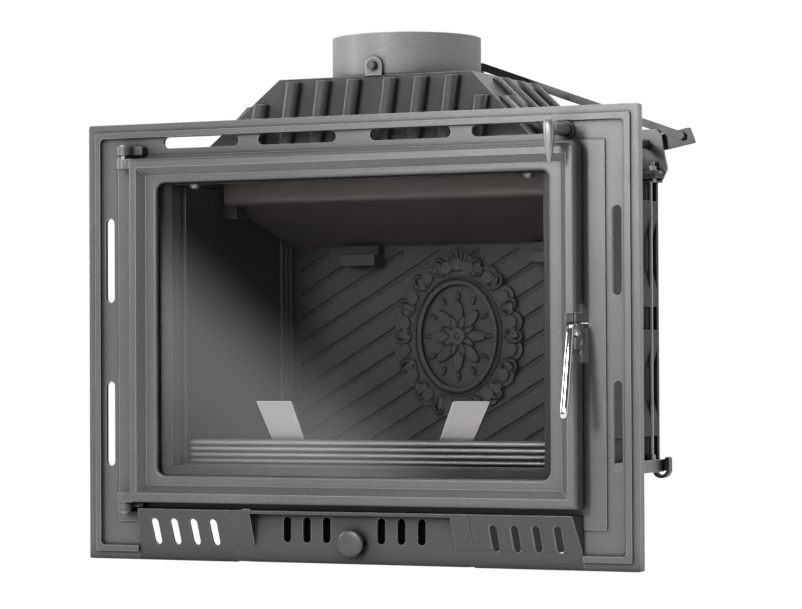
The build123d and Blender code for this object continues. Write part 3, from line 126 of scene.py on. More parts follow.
# ---------------------------------------------------------------- sizes and colours
class InsertFinish(bpy.types.PropertyGroup):
    """Colours and surface of the insert's materials."""

    stove_paint: bpy.props.FloatVectorProperty(
        name="Stove paint",
        description="Colour of the painted castings seen from the room",
        subtype="COLOR",
        size=3,
        default=(0.178, 0.178, 0.180),
    )
    # painted shade: the walls behind the frame are darker than the stove paint, for the shade they
    # lie in
    body_paint: bpy.props.FloatVectorProperty(
        name="Body paint",
        description="Colour of the walls behind the frame, their fins and the dome's flange",
        subtype="COLOR",
        size=3,
        default=(0.095, 0.095, 0.096),
    )
    # painted light: the collar is lighter than the stove paint, standing in for the light on its
    # rounded front
    collar_paint: bpy.props.FloatVectorProperty(
        name="Collar paint",
        description="Colour of the flue collar",
        subtype="COLOR",
        size=3,
        default=(0.34, 0.34, 0.342),
    )
    apron_paint: bpy.props.FloatVectorProperty(
        name="Apron paint",
        description="Colour of the lower grilles and the drawer front",
        subtype="COLOR",
        size=3,
        default=(0.10, 0.10, 0.102),
    )
    firebox_iron: bpy.props.FloatVectorProperty(
        name="Firebox iron",
        description="Colour of the castings round the fire",
        subtype="COLOR",
        size=3,
        default=(0.040, 0.037, 0.036),
    )
    # painted light: the andirons are far lighter than the firebox iron, standing in for the lamp
    # light on them, and the log guard's darker copy is painted shade
    log_iron: bpy.props.FloatVectorProperty(
        name="Andiron",
        description="Colour of the two andirons; the fluted log guard is a fifth darker",
        subtype="COLOR",
        size=3,
        default=(0.34, 0.33, 0.32),
    )
    # painted shade: the ash box, pan and shutter are near black so the slots in front of them look
    # shaded
    sheet_steel: bpy.props.FloatVectorProperty(
        name="Sheet steel",
        description="Colour of the ash box, the pan and the shutter",
        subtype="COLOR",
        size=3,
        default=(0.030, 0.029, 0.028),
    )
    scorched_steel: bpy.props.FloatVectorProperty(
        name="Scorched steel",
        description="Colour of the baffle over the fire",
        subtype="COLOR",
        size=3,
        default=(0.19, 0.160, 0.145),
    )
    dark_steel: bpy.props.FloatVectorProperty(
        name="Dark steel",
        description="Colour of the damper linkage, the clips and the rear lugs",
        subtype="COLOR",
        size=3,
        default=(0.10, 0.10, 0.102),
    )
    latch_steel: bpy.props.FloatVectorProperty(
        name="Latch steel",
        description="Colour of the latch claw and of the keeper pin",
        subtype="COLOR",
        size=3,
        default=(0.36, 0.36, 0.37),
    )
    zinc: bpy.props.FloatVectorProperty(
        name="Zinc",
        description="Colour of bolts, nuts, washers and pins",
        subtype="COLOR",
        size=3,
        default=(0.33, 0.33, 0.34),
    )
    polish: bpy.props.FloatVectorProperty(
        name="Polished lever",
        description="Colour of the bright door lever",
        subtype="COLOR",
        size=3,
        default=(0.83, 0.83, 0.84),
    )
    rope_fibre: bpy.props.FloatVectorProperty(
        name="Seal fibre",
        description="Colour of the glass-fibre rope and tape",
        subtype="COLOR",
        size=3,
        default=(0.26, 0.25, 0.235),
    )
    grain: bpy.props.FloatProperty(
        name="Casting grain",
        description="Height of the sand grain left on the castings",
        subtype="DISTANCE",
        default=0.00006,
        min=0.0,
        max=0.001,
    )


class InsertSizes(bpy.types.PropertyGroup):
    """Sizes of the pieces that are modelled here."""

    lever_thickness: bpy.props.FloatProperty(
        name="Lever thickness",
        description="Thickness of the door lever's grip at its middle",
        subtype="DISTANCE",
        unit="LENGTH",
        default=0.0085,
        min=0.004,
        max=0.012,
    )
    knob_radius: bpy.props.FloatProperty(
        name="Knob radius",
        description="Radius of the air knob",
        subtype="DISTANCE",
        unit="LENGTH",
        default=0.017,
        min=0.01,
        max=0.03,
    )
    oval_width: bpy.props.FloatProperty(
        name="Oval half width",
        description="Half width of the medallion's oval",
        subtype="DISTANCE",
        unit="LENGTH",
        default=0.0545,
        min=0.02,
        max=0.08,
    )
    oval_height: bpy.props.FloatProperty(
        name="Oval half height",
        description="Half height of the medallion's oval",
        subtype="DISTANCE",
        unit="LENGTH",
        default=0.071,
        min=0.03,
        max=0.1,
    )
    scrolls: bpy.props.IntProperty(
        name="Scrolls",
        description="Scrolls on each half of the medallion",
        default=7,
        min=3,
        max=12,
    )


class InsertStage(bpy.types.PropertyGroup):
    """Camera, lamps and floor."""

    camera_place: bpy.props.FloatVectorProperty(
        name="Camera place",
        description="Where the camera stands",
        subtype="TRANSLATION",
        size=3,
        default=(1.5957, -3.4762, 0.2478),
    )
    azimuth: bpy.props.FloatProperty(
        name="Azimuth",
        description="Turn of the camera to the right of the front",
        subtype="ANGLE",
        default=radians(24.792),
    )
    rise: bpy.props.FloatProperty(
        name="Rise",
        description="Upward tilt of the camera",
        subtype="ANGLE",
        default=radians(1.088),
    )
    roll: bpy.props.FloatProperty(
        name="Roll",
        description="Turn of the camera about its line of sight",
        subtype="ANGLE",
        default=radians(-0.281),
    )
    lens: bpy.props.FloatProperty(
        name="Lens",
        description="Focal length on a sensor 36 mm wide",
        default=135.04,
        min=20.0,
        max=300.0,
    )
    key_power: bpy.props.FloatProperty(
        name="Front lamp",
        description="Power of the main lamp, at the front and a little to the left",
        default=36.0,
        min=0.0,
    )
    fill_power: bpy.props.FloatProperty(
        name="Fill lamp",
        description="Power of the low lamp at the front right",
        default=9.0,
        min=0.0,
    )
    left_power: bpy.props.FloatProperty(
        name="Left lamp",
        description="Power of the tall lamp at the left that draws the edges and the ribs",
        default=34.0,
        min=0.0,
    )
    side_power: bpy.props.FloatProperty(
        name="Side lamp",
        description="Power of the lamp behind the right side",
        default=10.0,
        min=0.0,
    )
    top_power: bpy.props.FloatProperty(
        name="Top lamp",
        description="Power of the lamp overhead",
        default=16.0,
        min=0.0,
    )
    sky: bpy.props.FloatProperty(
        name="Surrounding light",
        description="Strength of the even light from all sides",
        default=0.16,
        min=0.0,
    )
    room_glow: bpy.props.FloatProperty(
        name="Room glow",
        description="Strength of the dim room that glass and metal mirror",
        default=0.08,
        min=0.0,
    )
    window_glow: bpy.props.FloatProperty(
        name="Window glow",
        description="Strength of the soft bright patch at the left that the door glass mirrors",
        default=1.8,
        min=0.0,
    )


# ---------------------------------------------------------------- helpers for finishes
def new_material(name):
    """Empty node material with its output and its surface shader."""
    material = bpy.data.materials.new(name)
    material.use_nodes = True
    nodes = material.node_tree.nodes
    nodes.clear()
    output = nodes.new("ShaderNodeOutputMaterial")
    shader = nodes.new("ShaderNodeBsdfPrincipled")
    output.location = (600, 0)
    shader.location = (300, 0)
    material.node_tree.links.new(shader.outputs["BSDF"], output.inputs["Surface"])
    return material, shader


def add_node(owner, kind, **values):
    """Node of a material or a world, with some of its settings or inputs set."""
    node = owner.node_tree.nodes.new(kind)
    for name, value in values.items():
        if hasattr(node, name):
            setattr(node, name, value)
        else:
            node.inputs[name.replace("_", " ")].default_value = value
    return node


def link(owner, start, end):
    """Joins an output to an input."""
    owner.node_tree.links.new(start, end)


def maths(owner, operation, first, second):
    """Result of an operation on two sockets or numbers."""
    node = add_node(owner, "ShaderNodeMath", operation=operation)
    for socket, value in zip(node.inputs, (first, second)):
        if isinstance(value, (int, float)):
            socket.default_value = value
        else:
            link(owner, value, socket)
    return node.outputs["Value"]


def mixed_surface(material, share, plain, other):
    """Surface that goes from the shader plain to the shader other as share rises."""
    mix = add_node(material, "ShaderNodeMixShader")
    for start, end in zip((share, plain, other), mix.inputs):
        link(material, start, end)
    output = next(n for n in material.node_tree.nodes if n.type == "OUTPUT_MATERIAL")
    link(material, mix.outputs["Shader"], output.inputs["Surface"])


def object_place(material, scale=(1.0, 1.0, 1.0)):
    """Object coordinates, stretched by scale."""
    place = add_node(material, "ShaderNodeTexCoord")
    mapping = add_node(material, "ShaderNodeMapping")
    mapping.inputs["Scale"].default_value = scale
    link(material, place.outputs["Object"], mapping.inputs["Vector"])
    return mapping.outputs["Vector"]


def noise(material, place, scale, detail=3.0, roughness=0.55):
    """Cloudy pattern between 0 and 1, of scale clouds to the metre."""
    node = add_node(
        material, "ShaderNodeTexNoise", Scale=scale, Detail=detail, Roughness=roughness
    )
    link(material, place, node.inputs["Vector"])
    return node.outputs["Fac"]


def ramp(material, source, low, high, start=0.3, end=0.7):
    """Colours from low to high, spread between two values of source."""
    node = add_node(material, "ShaderNodeValToRGB")
    for stop, place, colour in zip(node.color_ramp.elements, (start, end), (low, high)):
        stop.position = place
        stop.color = (*colour, 1.0)
    link(material, source, node.inputs["Fac"])
    return node.outputs["Color"]


def spread(material, source, low, high):
    """Numbers from low to high, spread over the values that a noise mostly has."""
    node = add_node(
        material, "ShaderNodeMapRange", From_Min=0.3, From_Max=0.7, To_Min=low, To_Max=high
    )
    link(material, source, node.inputs["Value"])
    return node.outputs["Result"]


def soft_edges(material, radius):
    """Surface direction with every edge rounded over radius."""
    softened = add_node(material, "ShaderNodeBevel", samples=4, Radius=radius)
    return softened.outputs["Normal"]


def highlight_edges(material, softened):
    """Share of the painted edge highlight: 1 along the edges, where softened turns away from the
    surface, and 0 elsewhere.
    """
    surface = add_node(material, "ShaderNodeNewGeometry")
    likeness = add_node(material, "ShaderNodeVectorMath", operation="DOT_PRODUCT")
    link(material, surface.outputs["Normal"], likeness.inputs[0])
    link(material, softened, likeness.inputs[1])
    highlight_share = add_node(material, "ShaderNodeMapRange", From_Min=0.995, From_Max=0.86)
    link(material, likeness.outputs["Value"], highlight_share.inputs["Value"])
    return highlight_share.outputs["Result"]


def tinted(material, first, second, kind="MULTIPLY", share=None):
    """Two colours mixed, wholly or by share."""
    mix = add_node(material, "ShaderNodeMix", data_type="RGBA", blend_type=kind)
    mix.inputs["Factor"].default_value = 1.0
    if share:
        link(material, share, mix.inputs["Factor"])
    for source, socket in ((first, mix.inputs["A"]), (second, mix.inputs["B"])):
        if isinstance(source, tuple):
            socket.default_value = (*source, 1.0)
        else:
            link(material, source, socket)
    return mix.outputs["Result"]


def painted_shade(material, reach, darkest, start, end):
    """Painted shade: grey that falls to darkest in grooves and corners narrower than reach."""
    hollow = add_node(material, "ShaderNodeAmbientOcclusion", samples=4, Distance=reach)
    return ramp(material, hollow.outputs["AO"], (darkest,) * 3, WHITE[:3], start, end)


def bump(material, shader, heights, normal=None):
    """Chain of bumps, each a pair of height and distance, over the surface or softened edges."""
    for height, distance in heights:
        node = add_node(material, "ShaderNodeBump", Distance=distance, Strength=1.0)
        link(material, height, node.inputs["Height"])
        if normal:
            link(material, normal, node.inputs["Normal"])
        normal = node.outputs["Normal"]
    link(material, normal, shader.inputs["Normal"])


def shade(colour, share):
    """Colour made darker or lighter by share."""
    return tuple(channel * share for channel in colour)


def cast_finish(name, colour, gloss, grain, sheen=0.5):
    """Painted sand casting: fine grain, a painted highlight along its edges and painted shade in
    its hollows and grooves.
    """
    material, shader = new_material(name)
    place = object_place(material)
    cloud = noise(material, place, 9.0, 4.0)
    speck = noise(material, place, 420.0, 3.0, 0.6)
    coarse = noise(material, place, 120.0, 2.0)
    tone = ramp(material, cloud, shade(colour, 0.92), shade(colour, 1.08), start=0.25, end=0.75)
    fleck = ramp(material, speck, (0.88,) * 3, (1.06,) * 3, start=0.35, end=0.65)
    softened = soft_edges(material, 1.5 * MM)
    # painted shade: the paint darkens in hollows within 24 mm and in grooves within 5 mm
    hollow_shade = painted_shade(material, 24 * MM, darkest=0.1, start=0.28, end=0.86)
    groove_shade = painted_shade(material, 5 * MM, darkest=0.06, start=0.5, end=0.9)
    # painted highlight: the paint's edges are made 3.2 times brighter
    edge_highlight = shade([channel + 0.03 for channel in colour], 3.2)  # bright even on dark paint
    paint = tinted(material, tone, fleck)
    rims = tinted(material, paint, edge_highlight, "MIX", highlight_edges(material, softened))
    final = tinted(material, rims, tinted(material, hollow_shade, groove_shade))
    link(material, final, shader.inputs["Base Color"])
    link(material, spread(material, coarse, gloss - 0.02, gloss + 0.03), shader.inputs["Roughness"])
    shader.inputs["Metallic"].default_value = sheen
    shader.inputs["Specular IOR Level"].default_value = sheen
    bump(material, shader, ((speck, grain), (coarse, grain * 0.3)), softened)
    return material


def steel_finish(name, colour, gloss, along=(1.0, 1.0, 1.0)):
    """Rolled or turned steel with faint lines along one way."""
    material, shader = new_material(name)
    place = object_place(material, along)
    lines = noise(material, place, 300.0, 2.0)
    stain = noise(material, object_place(material), 28.0, 4.0)
    tone = ramp(material, stain, shade(colour, 0.82), shade(colour, 1.15))
    link(material, tone, shader.inputs["Base Color"])
    link(material, spread(material, stain, gloss - 0.06, gloss + 0.08), shader.inputs["Roughness"])
    shader.inputs["Metallic"].default_value = 0.9
    bump(material, shader, ((lines, 0.03 * MM),), soft_edges(material, 0.6 * MM))
    return material


def polish_finish(name, colour):
    """Polished plating with a faint haze."""
    material, shader = new_material(name)
    haze = noise(material, object_place(material), 60.0, 2.0)
    link(material, ramp(material, haze, shade(colour, 0.97), colour), shader.inputs["Base Color"])
    link(material, spread(material, haze, 0.07, 0.13), shader.inputs["Roughness"])
    shader.inputs["Metallic"].default_value = 1.0
    return material


def pane_finish(name):
    """Clear ceramic glass that lets lamp light through to the firebox."""
    material, shader = new_material(name)
    shader.inputs["Base Color"].default_value = (0.93, 0.93, 0.93, 1.0)
    shader.inputs["IOR"].default_value = 1.45
    shader.inputs["Transmission Weight"].default_value = 1.0
    smear = noise(material, object_place(material), 14.0, 3.0)
    link(material, spread(material, smear, 0.0, 0.02), shader.inputs["Roughness"])
    clear = add_node(material, "ShaderNodeBsdfTransparent", Color=(0.92, 0.92, 0.92, 1.0))
    rays = add_node(material, "ShaderNodeLightPath").outputs
    lamplight = maths(material, "MAXIMUM", rays["Is Shadow Ray"], rays["Is Diffuse Ray"])
    mixed_surface(material, lamplight, shader.outputs["BSDF"], clear.outputs["BSDF"])
    return material


def braid_finish(name, colour):
    """Plaited glass fibre: crossing strands in relief."""
    material, shader = new_material(name)
    strands = []
    for side in (1.0, -1.0):
        strand = add_node(
            material, "ShaderNodeTexWave", bands_direction="DIAGONAL", Scale=160.0, Distortion=1.5
        )
        link(material, object_place(material, (side, 1.0, 1.0)), strand.inputs["Vector"])
        strands.append(strand.outputs["Fac"])
    weave = maths(material, "MAXIMUM", *strands)
    tone = ramp(material, weave, shade(colour, 0.5), shade(colour, 1.2))
    link(material, tone, shader.inputs["Base Color"])
    shader.inputs["Roughness"].default_value = 0.9
    shader.inputs["Sheen Weight"].default_value = 0.3
    bump(material, shader, ((weave, 0.6 * MM),))
    return material


def dress(names, material):
    """Gives CAD nodes a finish."""
    for name in names:
        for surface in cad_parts[name].material_slots:
            surface.material = material


# ---------------------------------------------------------------- helpers for pieces
def finished_piece(name, bm, material, body, node, smooth=True):
    """Object from a bmesh, riding on a body, standing for a CAD node where one is named."""
    bmesh.ops.remove_doubles(bm, verts=bm.verts[:], dist=1e-6)
    bmesh.ops.recalc_face_normals(bm, faces=bm.faces[:])
    for face in bm.faces:
        face.smooth = smooth
    mesh = bpy.data.meshes.new(name)
    bm.to_mesh(mesh)
    bm.free()
    mesh.materials.append(material)
    piece = bpy.data.objects.new(name, mesh)
    bpy.context.scene.collection.objects.link(piece)
    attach(piece, body)
    if node:
        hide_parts(node)
    return piece


def sharp_by_angle(piece, angle=radians(35.0)):
    """Keeps real corners crisp on a smooth-shaded piece."""
    bm = bmesh.new()
    bm.from_mesh(piece.data)
    for edge in bm.edges:
        if len(edge.link_faces) == 2 and edge.calc_face_angle() > angle:
            edge.smooth = False
    bm.to_mesh(piece.data)
    bm.free()


def point(x, y, z):
    """Place in metres, from millimetres with the depth counted from the frame's front."""
    return Vector((x * MM, (y - FLUE_SETBACK) * MM, z * MM))


def signed_power(value, power):
    """Power of the value's size, with the value's sign."""
    return abs(value) ** power * (1 if value >= 0 else -1)


def ring_edges(ring):
    """Edges that join the corners of a ring."""
    return list({edge for vert in ring for edge in vert.link_edges})


def swept_bar(bm, stations, sides, squareness):
    """Closed bar through stations of (centre, direction, half width along side, half depth, side).

    A squareness of 1 gives an oval section, and a smaller one squarer corners.
    """
    edges = []
    for centre, direction, half_side, half_depth, side in stations:
        direction = Vector(direction).normalized()
        side = Vector(side).normalized()
        depth = direction.cross(side).normalized()
        ring = bmesh.ops.create_circle(bm, cap_ends=False, radius=1.0, segments=sides)["verts"]
        for vert in ring:
            turn = atan2(vert.co.y, vert.co.x)
            reach_side = signed_power(cos(turn), squareness) * half_side
            reach_depth = signed_power(sin(turn), squareness) * half_depth
            vert.co = centre + side * reach_side + depth * reach_depth
        edges.append(ring_edges(ring))
    for low, high in zip(edges, edges[1:]):
        bmesh.ops.bridge_loops(bm, edges=low + high)
    for ring in (edges[0], edges[-1]):
        bmesh.ops.holes_fill(bm, edges=ring, sides=0)


def hoop(bm, places, half_out, depth, sides):
    """Closed oval moulding through places of (centre, outward direction).

    It reaches half_out outwards and inwards, and by the vector depth to its front and back.
    """
    edges = []
    for centre, out in places:
        ring = bmesh.ops.create_circle(bm, cap_ends=False, radius=1.0, segments=sides)["verts"]
        for vert in ring:
            around = atan2(vert.co.y, vert.co.x)
            vert.co = centre + out * cos(around) * half_out + depth * sin(around)
        edges.append(ring_edges(ring))
    for first, second in zip(edges, edges[1:] + edges[:1]):
        bmesh.ops.bridge_loops(bm, edges=first + second)


def turned(bm, profile, centre, axis, steps):
    """Solid of revolution of a profile of (distance along the axis, radius) in millimetres."""
    side = axis.orthogonal().normalized()
    verts = [
        bm.verts.new(centre + axis * along * MM + side * radius * MM) for along, radius in profile
    ]
    edges = [bm.edges.new(pair) for pair in zip(verts, verts[1:])]
    bmesh.ops.spin(
        bm,
        geom=verts + edges,
        cent=centre,
        axis=axis,
        angle=tau,
        steps=steps,
        use_merge=True,
        use_duplicate=False,
    )


# ---------------------------------------------------------------- castings, steel and glass
class INSERT_OT_castings(bpy.types.Operator):
    """Paint the frame, the door, the apron, the outer walls, the dome and the flue collar"""

    bl_idname = "insert.castings"
    bl_label = "Outer castings"

    def execute(self, context):
        look = context.scene.insert_finish
        grain = look.grain
        paint = cast_finish("stove_paint", look.stove_paint, 0.38, grain)
        apron = cast_finish("apron_paint", look.apron_paint, 0.36, grain)
        # painted shade: the walls behind the frame get a darker paint
        body = cast_finish("body_paint", look.body_paint, 0.6, grain, sheen=0.1)
        # painted shade: the dome's copy of the stove paint is darker
        dome_colour = shade(look.stove_paint, DOME_SHADE)
        dome = cast_finish("dome_paint", dome_colour, 0.34, grain, sheen=0.45)
        # painted light: the collar's paint is lighter than the stove paint
        collar = cast_finish("collar_paint", look.collar_paint, 0.45, grain * 0.5, sheen=0.12)
        dress(OUTER_CASTINGS, paint)
        dress(BODY_CASTINGS, body)
        dress(("dome",), dome)
        dress(("flue_collar",), collar)
        dress(APRON_CASTINGS, apron)
        return {"FINISHED"}


class INSERT_OT_firebox(bpy.types.Operator):
    """Finish the castings round the fire, the andirons, the log guard, the baffle and the sheet"""

    bl_idname = "insert.firebox"
    bl_label = "Firebox"

    def execute(self, context):
        look = context.scene.insert_finish
        grain = look.grain
        iron = cast_finish("firebox_iron", look.firebox_iron, 0.5, grain * 1.6)
        # painted light on the andirons, and painted shade on the log guard's darker copy
        andirons = cast_finish("andiron", look.log_iron, 0.45, grain)
        guard = cast_finish("log_guard_iron", shade(look.log_iron, GUARD_SHADE), 0.4, grain)
        # painted shade: the sheet behind the grille slots is near black
        sheet = cast_finish("shade_dark_sheet", look.sheet_steel, 0.6, grain * 0.4, sheen=0.1)
        scorched = cast_finish("scorched_steel", look.scorched_steel, 0.5, grain)
        dress(FIREBOX_CASTINGS, iron)
        dress(ANDIRONS, andirons)
        dress(("log_guard",), guard)
        dress(SHADE_DARK_SHEET, sheet)
        dress(("baffle",), scorched)
        return {"FINISHED"}


class INSERT_OT_steel(bpy.types.Operator):
    """Finish the damper linkage, the latch, the clips, the lugs and all bolts, nuts and pins"""

    bl_idname = "insert.steel"
    bl_label = "Steel and fasteners"

    def execute(self, context):
        look = context.scene.insert_finish
        dress(DARK_STEEL, steel_finish("dark_steel", look.dark_steel, 0.42))
        dress(LATCH_STEEL, steel_finish("latch_steel", look.latch_steel, 0.3))
        dress(FASTENERS, steel_finish("zinc_plate", look.zinc, 0.38, (1.0, 1.0, 6.0)))
        return {"FINISHED"}


class INSERT_OT_pane(bpy.types.Operator):
    """Finish the ceramic glass of the door"""

    bl_idname = "insert.pane"
    bl_label = "Door glass"

    def execute(self, context):
        dress(("door_glass",), pane_finish("ceramic_glass"))
        return {"FINISHED"}


# ---------------------------------------------------------------- seals, handles and knob
class INSERT_OT_seals(bpy.types.Operator):
    """Lay the plaited rope in the door's channel and the tape round the glass"""

    bl_idname = "insert.seals"
    bl_label = "Rope and tape"

    rope_width = 8.2 * MM
    rope_bend = 12.0 * MM  # outer radius at the door's corners
    tape_width = 6.0 * MM

    def rope(self, fibre):
        """Rope that fills its channel and bends in five steps round each corner."""
        low, high = (Vector(corner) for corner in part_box("door_rope_seal"))
        half = self.rope_width / 2
        bend = self.rope_bend - half
        left, right = low.x + half + bend, high.x - half - bend
        foot, head = low.z + half + bend, high.z - half - bend
        middle = (low.y + high.y) / 2
        corners = ((right, head, 0), (left, head, 90), (left, foot, 180), (right, foot, 270))
        places = []
        for x, z, start in corners:
            for step in range(5):
                turn = radians(start + 22.5 * step)
                out = Vector((cos(turn), 0.0, sin(turn)))
                places.append((Vector((x, middle, z)) + bend * out, out))
        bm = bmesh.new()
        hoop(bm, places, half * 0.985, Y_WAY * (high.y - low.y) / 2, sides=12)
        finished_piece("rope_seal", bm, fibre, "door", "door_rope_seal")

    def tape(self, fibre):
        """Flat tape laid as a frame round the edge of the glass."""
        low, high = (Vector(corner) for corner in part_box("glass_seal"))
        bm = bmesh.new()
        for vert in bmesh.ops.create_grid(bm, x_segments=1, y_segments=1, size=0.5)["verts"]:
            x = low.x + (vert.co.x + 0.5) * (high.x - low.x)
            z = low.z + (vert.co.y + 0.5) * (high.z - low.z)
            vert.co = Vector((x, high.y, z))
        bmesh.ops.inset_region(
            bm,
            faces=bm.faces[:],
            thickness=self.tape_width,
            use_boundary=True,
            use_even_offset=True,
        )
        middle = max(bm.faces, key=lambda face: face.calc_area())
        bmesh.ops.delete(bm, geom=[middle], context="FACES_ONLY")
        tape = bmesh.ops.extrude_face_region(bm, geom=bm.faces[:])
        moved = [item for item in tape["geom"] if isinstance(item, bmesh.types.BMVert)]
        bmesh.ops.translate(bm, verts=moved, vec=(0, low.y - high.y, 0))
        finished_piece("glass_tape", bm, fibre, "door", "glass_seal", smooth=False)

    def execute(self, context):
        fibre = braid_finish("seal_fibre", context.scene.insert_finish.rope_fibre)
        self.rope(fibre)
        self.tape(fibre)
        return {"FINISHED"}


class INSERT_OT_lever(bpy.types.Operator):
    """Forge the bright door lever: hub, neck and a grip that leans away from the door"""

    bl_idname = "insert.lever"
    bl_label = "Door lever"

    def execute(self, context):
        look = context.scene.insert_finish
        half = context.scene.insert_sizes.lever_thickness / 2
        shine = polish_finish("bright_lever", look.polish)
        bm = bmesh.new()
        hub = (
            (-5.3, 3.2),
            (-5.3, 7.0),
            (-4.4, 7.8),
            (4.6, 7.8),
            (5.6, 7.0),
            (5.6, 3.2),
            (-5.3, 3.2),
        )
        turned(bm, hub, point(*LEVER_PIN), X_WAY, steps=40)
        # stations of place, half width and half depth; the drawn depth is scaled to the thickness
        drawn_half = 4.3
        path = (
            (298.5, -16.0, 284.0, 4.2, 5.4),
            (298.8, -22.0, 286.5, 4.2, 5.2),
            (299.0, -28.5, 288.5, 4.3, 5.0),
            (299.2, -33.0, 286.0, 4.4, 4.8),
            (299.3, -36.0, 278.0, 4.4, 4.6),
            (299.3, -40.5, 258.0, 4.5, 4.3),
            (299.3, -45.5, 236.0, 4.6, 4.1),
            (299.3, -50.0, 214.0, 4.7, 4.1),
            (299.2, -54.2, 196.0, 4.7, 4.0),
            (299.0, -56.2, 186.5, 4.6, 3.9),
            (298.8, -56.6, 182.4, 4.0, 3.3),
            (298.7, -56.6, 180.6, 2.4, 2.0),
        )
        stations = []
        for number, (x, y, z, side, depth) in enumerate(path):
            before = point(*path[max(0, number - 1)][:3])
            after = point(*path[min(len(path) - 1, number + 1)][:3])
            deep = depth / drawn_half * half
            stations.append((point(x, y, z), after - before, side * MM, deep, X_WAY))
        swept_bar(bm, stations, sides=20, squareness=0.62)
        finished_piece("door_lever_grip", bm, shine, "lever", "door_lever")
        return {"FINISHED"}


class INSERT_OT_handle(bpy.types.Operator):
    """Cast the hanging damper handle: a turned hub and a tapering horn"""

    bl_idname = "insert.handle"
    bl_label = "Damper handle"

    def execute(self, context):
        look = context.scene.insert_finish
        # painted highlight: the handle's copy of the stove paint is 2.4 times lighter
        colour = shade(look.stove_paint, HANDLE_HIGHLIGHT)
        paint = cast_finish("handle_paint", colour, 0.3, look.grain * 0.3)
        bm = bmesh.new()
        low, high = (Vector(corner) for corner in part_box("damper_handle"))
        reach = (high.y - low.y) / MM
        hub = (
            (reach, 5.1),
            (reach, 7.6),
            (reach - 1.2, 8.5),
            (reach - 10.0, 8.4),
            (14.0, 7.2),
            (9.0, 6.6),
            (9.0, 5.1),
            (reach, 5.1),
        )
        hub_front = Vector((HANDLE_SIDE * MM, low.y, HANDLE_HEIGHT * MM))
        turned(bm, hub, hub_front, Y_WAY, steps=40)
        middle = low.y + 6.6 * MM
        # stations of height, half width and half depth down the horn
        shape = (
            (533.0, 2.0, 2.2),
            (531.4, 4.6, 4.4),
            (527.5, 6.4, 6.0),
            (521.5, 7.0, 6.5),
            (512.0, 6.5, 6.1),
            (500.0, 5.3, 5.3),
            (490.0, 3.9, 4.2),
            (483.5, 2.6, 2.9),
            (480.8, 1.6, 1.7),
            (480.1, 0.7, 0.8),
        )
        stations = []
        for z, side, depth in shape:
            centre = Vector((HANDLE_SIDE * MM, middle, z * MM))
            stations.append((centre, (0, 0, -1), side * MM, depth * MM, X_WAY))
        swept_bar(bm, stations, sides=20, squareness=0.8)
        finished_piece(
            "damper_handle_horn", bm, paint, "damper_shaft_set", "damper_handle"
        )
        return {"FINISHED"}


class INSERT_OT_knob(bpy.types.Operator):
    """Turn the air knob with its crowned face and its stem"""

    bl_idname = "insert.knob"
    bl_label = "Air knob"

    def execute(self, context):
        look = context.scene.insert_finish
        radius = context.scene.insert_sizes.knob_radius / MM
        # painted shade: the knob's copy of the stove paint is darker
        colour = shade(look.stove_paint, KNOB_SHADE)
        paint = cast_finish("knob_paint", colour, 0.36, look.grain * 0.5)
        low, high = (Vector(corner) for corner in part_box("air_knob"))
        stem_end = (high.y - low.y) / MM
        profile = (
            (0.0, 0.0),
            (0.15, radius * 0.45),
            (0.6, radius * 0.78),
            (1.3, radius * 0.93),
            (2.4, radius * 0.99),
            (3.4, radius),
            (6.6, radius),
            (7.6, radius * 0.97),
            (8.0, radius * 0.9),
            (8.0, 4.0),
            (stem_end, 4.0),
            (stem_end, 0.0),
        )
        bm = bmesh.new()
        turned(bm, profile, Vector((0, low.y, (low.z + high.z) / 2)), Y_WAY, steps=64)
        knob = finished_piece(
            "air_knob_turned", bm, paint, "air_control", "air_knob"
        )
        sharp_by_angle(knob)
        return {"FINISHED"}


# ---------------------------------------------------------------- medallion
def ball(bm, meridians, parallels, radius):
    """Corners of a new ball at the origin."""
    made = bmesh.ops.create_uvsphere(
        bm, u_segments=meridians, v_segments=parallels, radius=radius
    )
    return made["verts"]


def on_ground(turn, reach, rise=None):
    """Offset by reach at an angle on the medallion's ground, or on an oval of reach and rise."""
    rise = reach if rise is None else rise
    return Vector((cos(turn) * reach, 0, sin(turn) * rise))


def scroll(bm, start, heading, turn, size, face_y, thickness):
    """Half-sunk volute: a bar that curls up and thins towards its eye."""
    stations = []
    steps = 22
    place = start.copy()
    angle = heading
    for step in range(steps + 1):
        share = step / steps
        radius = thickness * (1.0 - 0.62 * share) * (0.55 + 0.45 * min(1.0, 5 * share))
        direction = Vector((cos(angle), 0.0, sin(angle)))
        side = Vector((-sin(angle), 0.0, cos(angle)))
        centre = Vector((place.x, face_y - radius * 0.15, place.z))
        stations.append((centre, direction, radius, radius * 0.95, side))
        stride = size * (1.0 - 0.72 * share) / 7.5
        place = place + direction * stride
        angle += turn * (0.14 + 0.5 * share)
    swept_bar(bm, stations, sides=10, squareness=1.0)
    eye = ball(bm, 10, 6, thickness * 0.62)
    bmesh.ops.translate(bm, verts=eye, vec=(place.x, face_y - thickness * 0.2, place.z))


def leaf(bm, centre, heading, length, width, rise):
    """Pointed leaf lying on the ground, crowned along its rib."""
    verts = ball(bm, 14, 8, 1.0)
    for vert in verts:
        along, over, out = vert.co.x, vert.co.y, vert.co.z
        taper = 1.0 - 0.55 * max(0.0, along) ** 1.5
        crease = 1.0 - 0.35 * max(0.0, 1.0 - abs(over) * 4.0)
        vert.co = Vector((along * length, -out * rise * crease, over * width * taper))
    turn = Matrix.Rotation(-heading, 4, "Y")
    bmesh.ops.transform(bm, matrix=turn, verts=verts)
    bmesh.ops.translate(bm, verts=verts, vec=centre)


def oval_moulding(bm, centre, half_x, half_z, radius, steps=96):
    """Round moulding along an oval."""
    places = []
    for step in range(steps):
        turn = tau * step / steps
        out = on_ground(turn, half_z, half_x).normalized()
        places.append((centre + on_ground(turn, half_x, half_z), out))
    hoop(bm, places, radius, -Y_WAY * radius, sides=10)


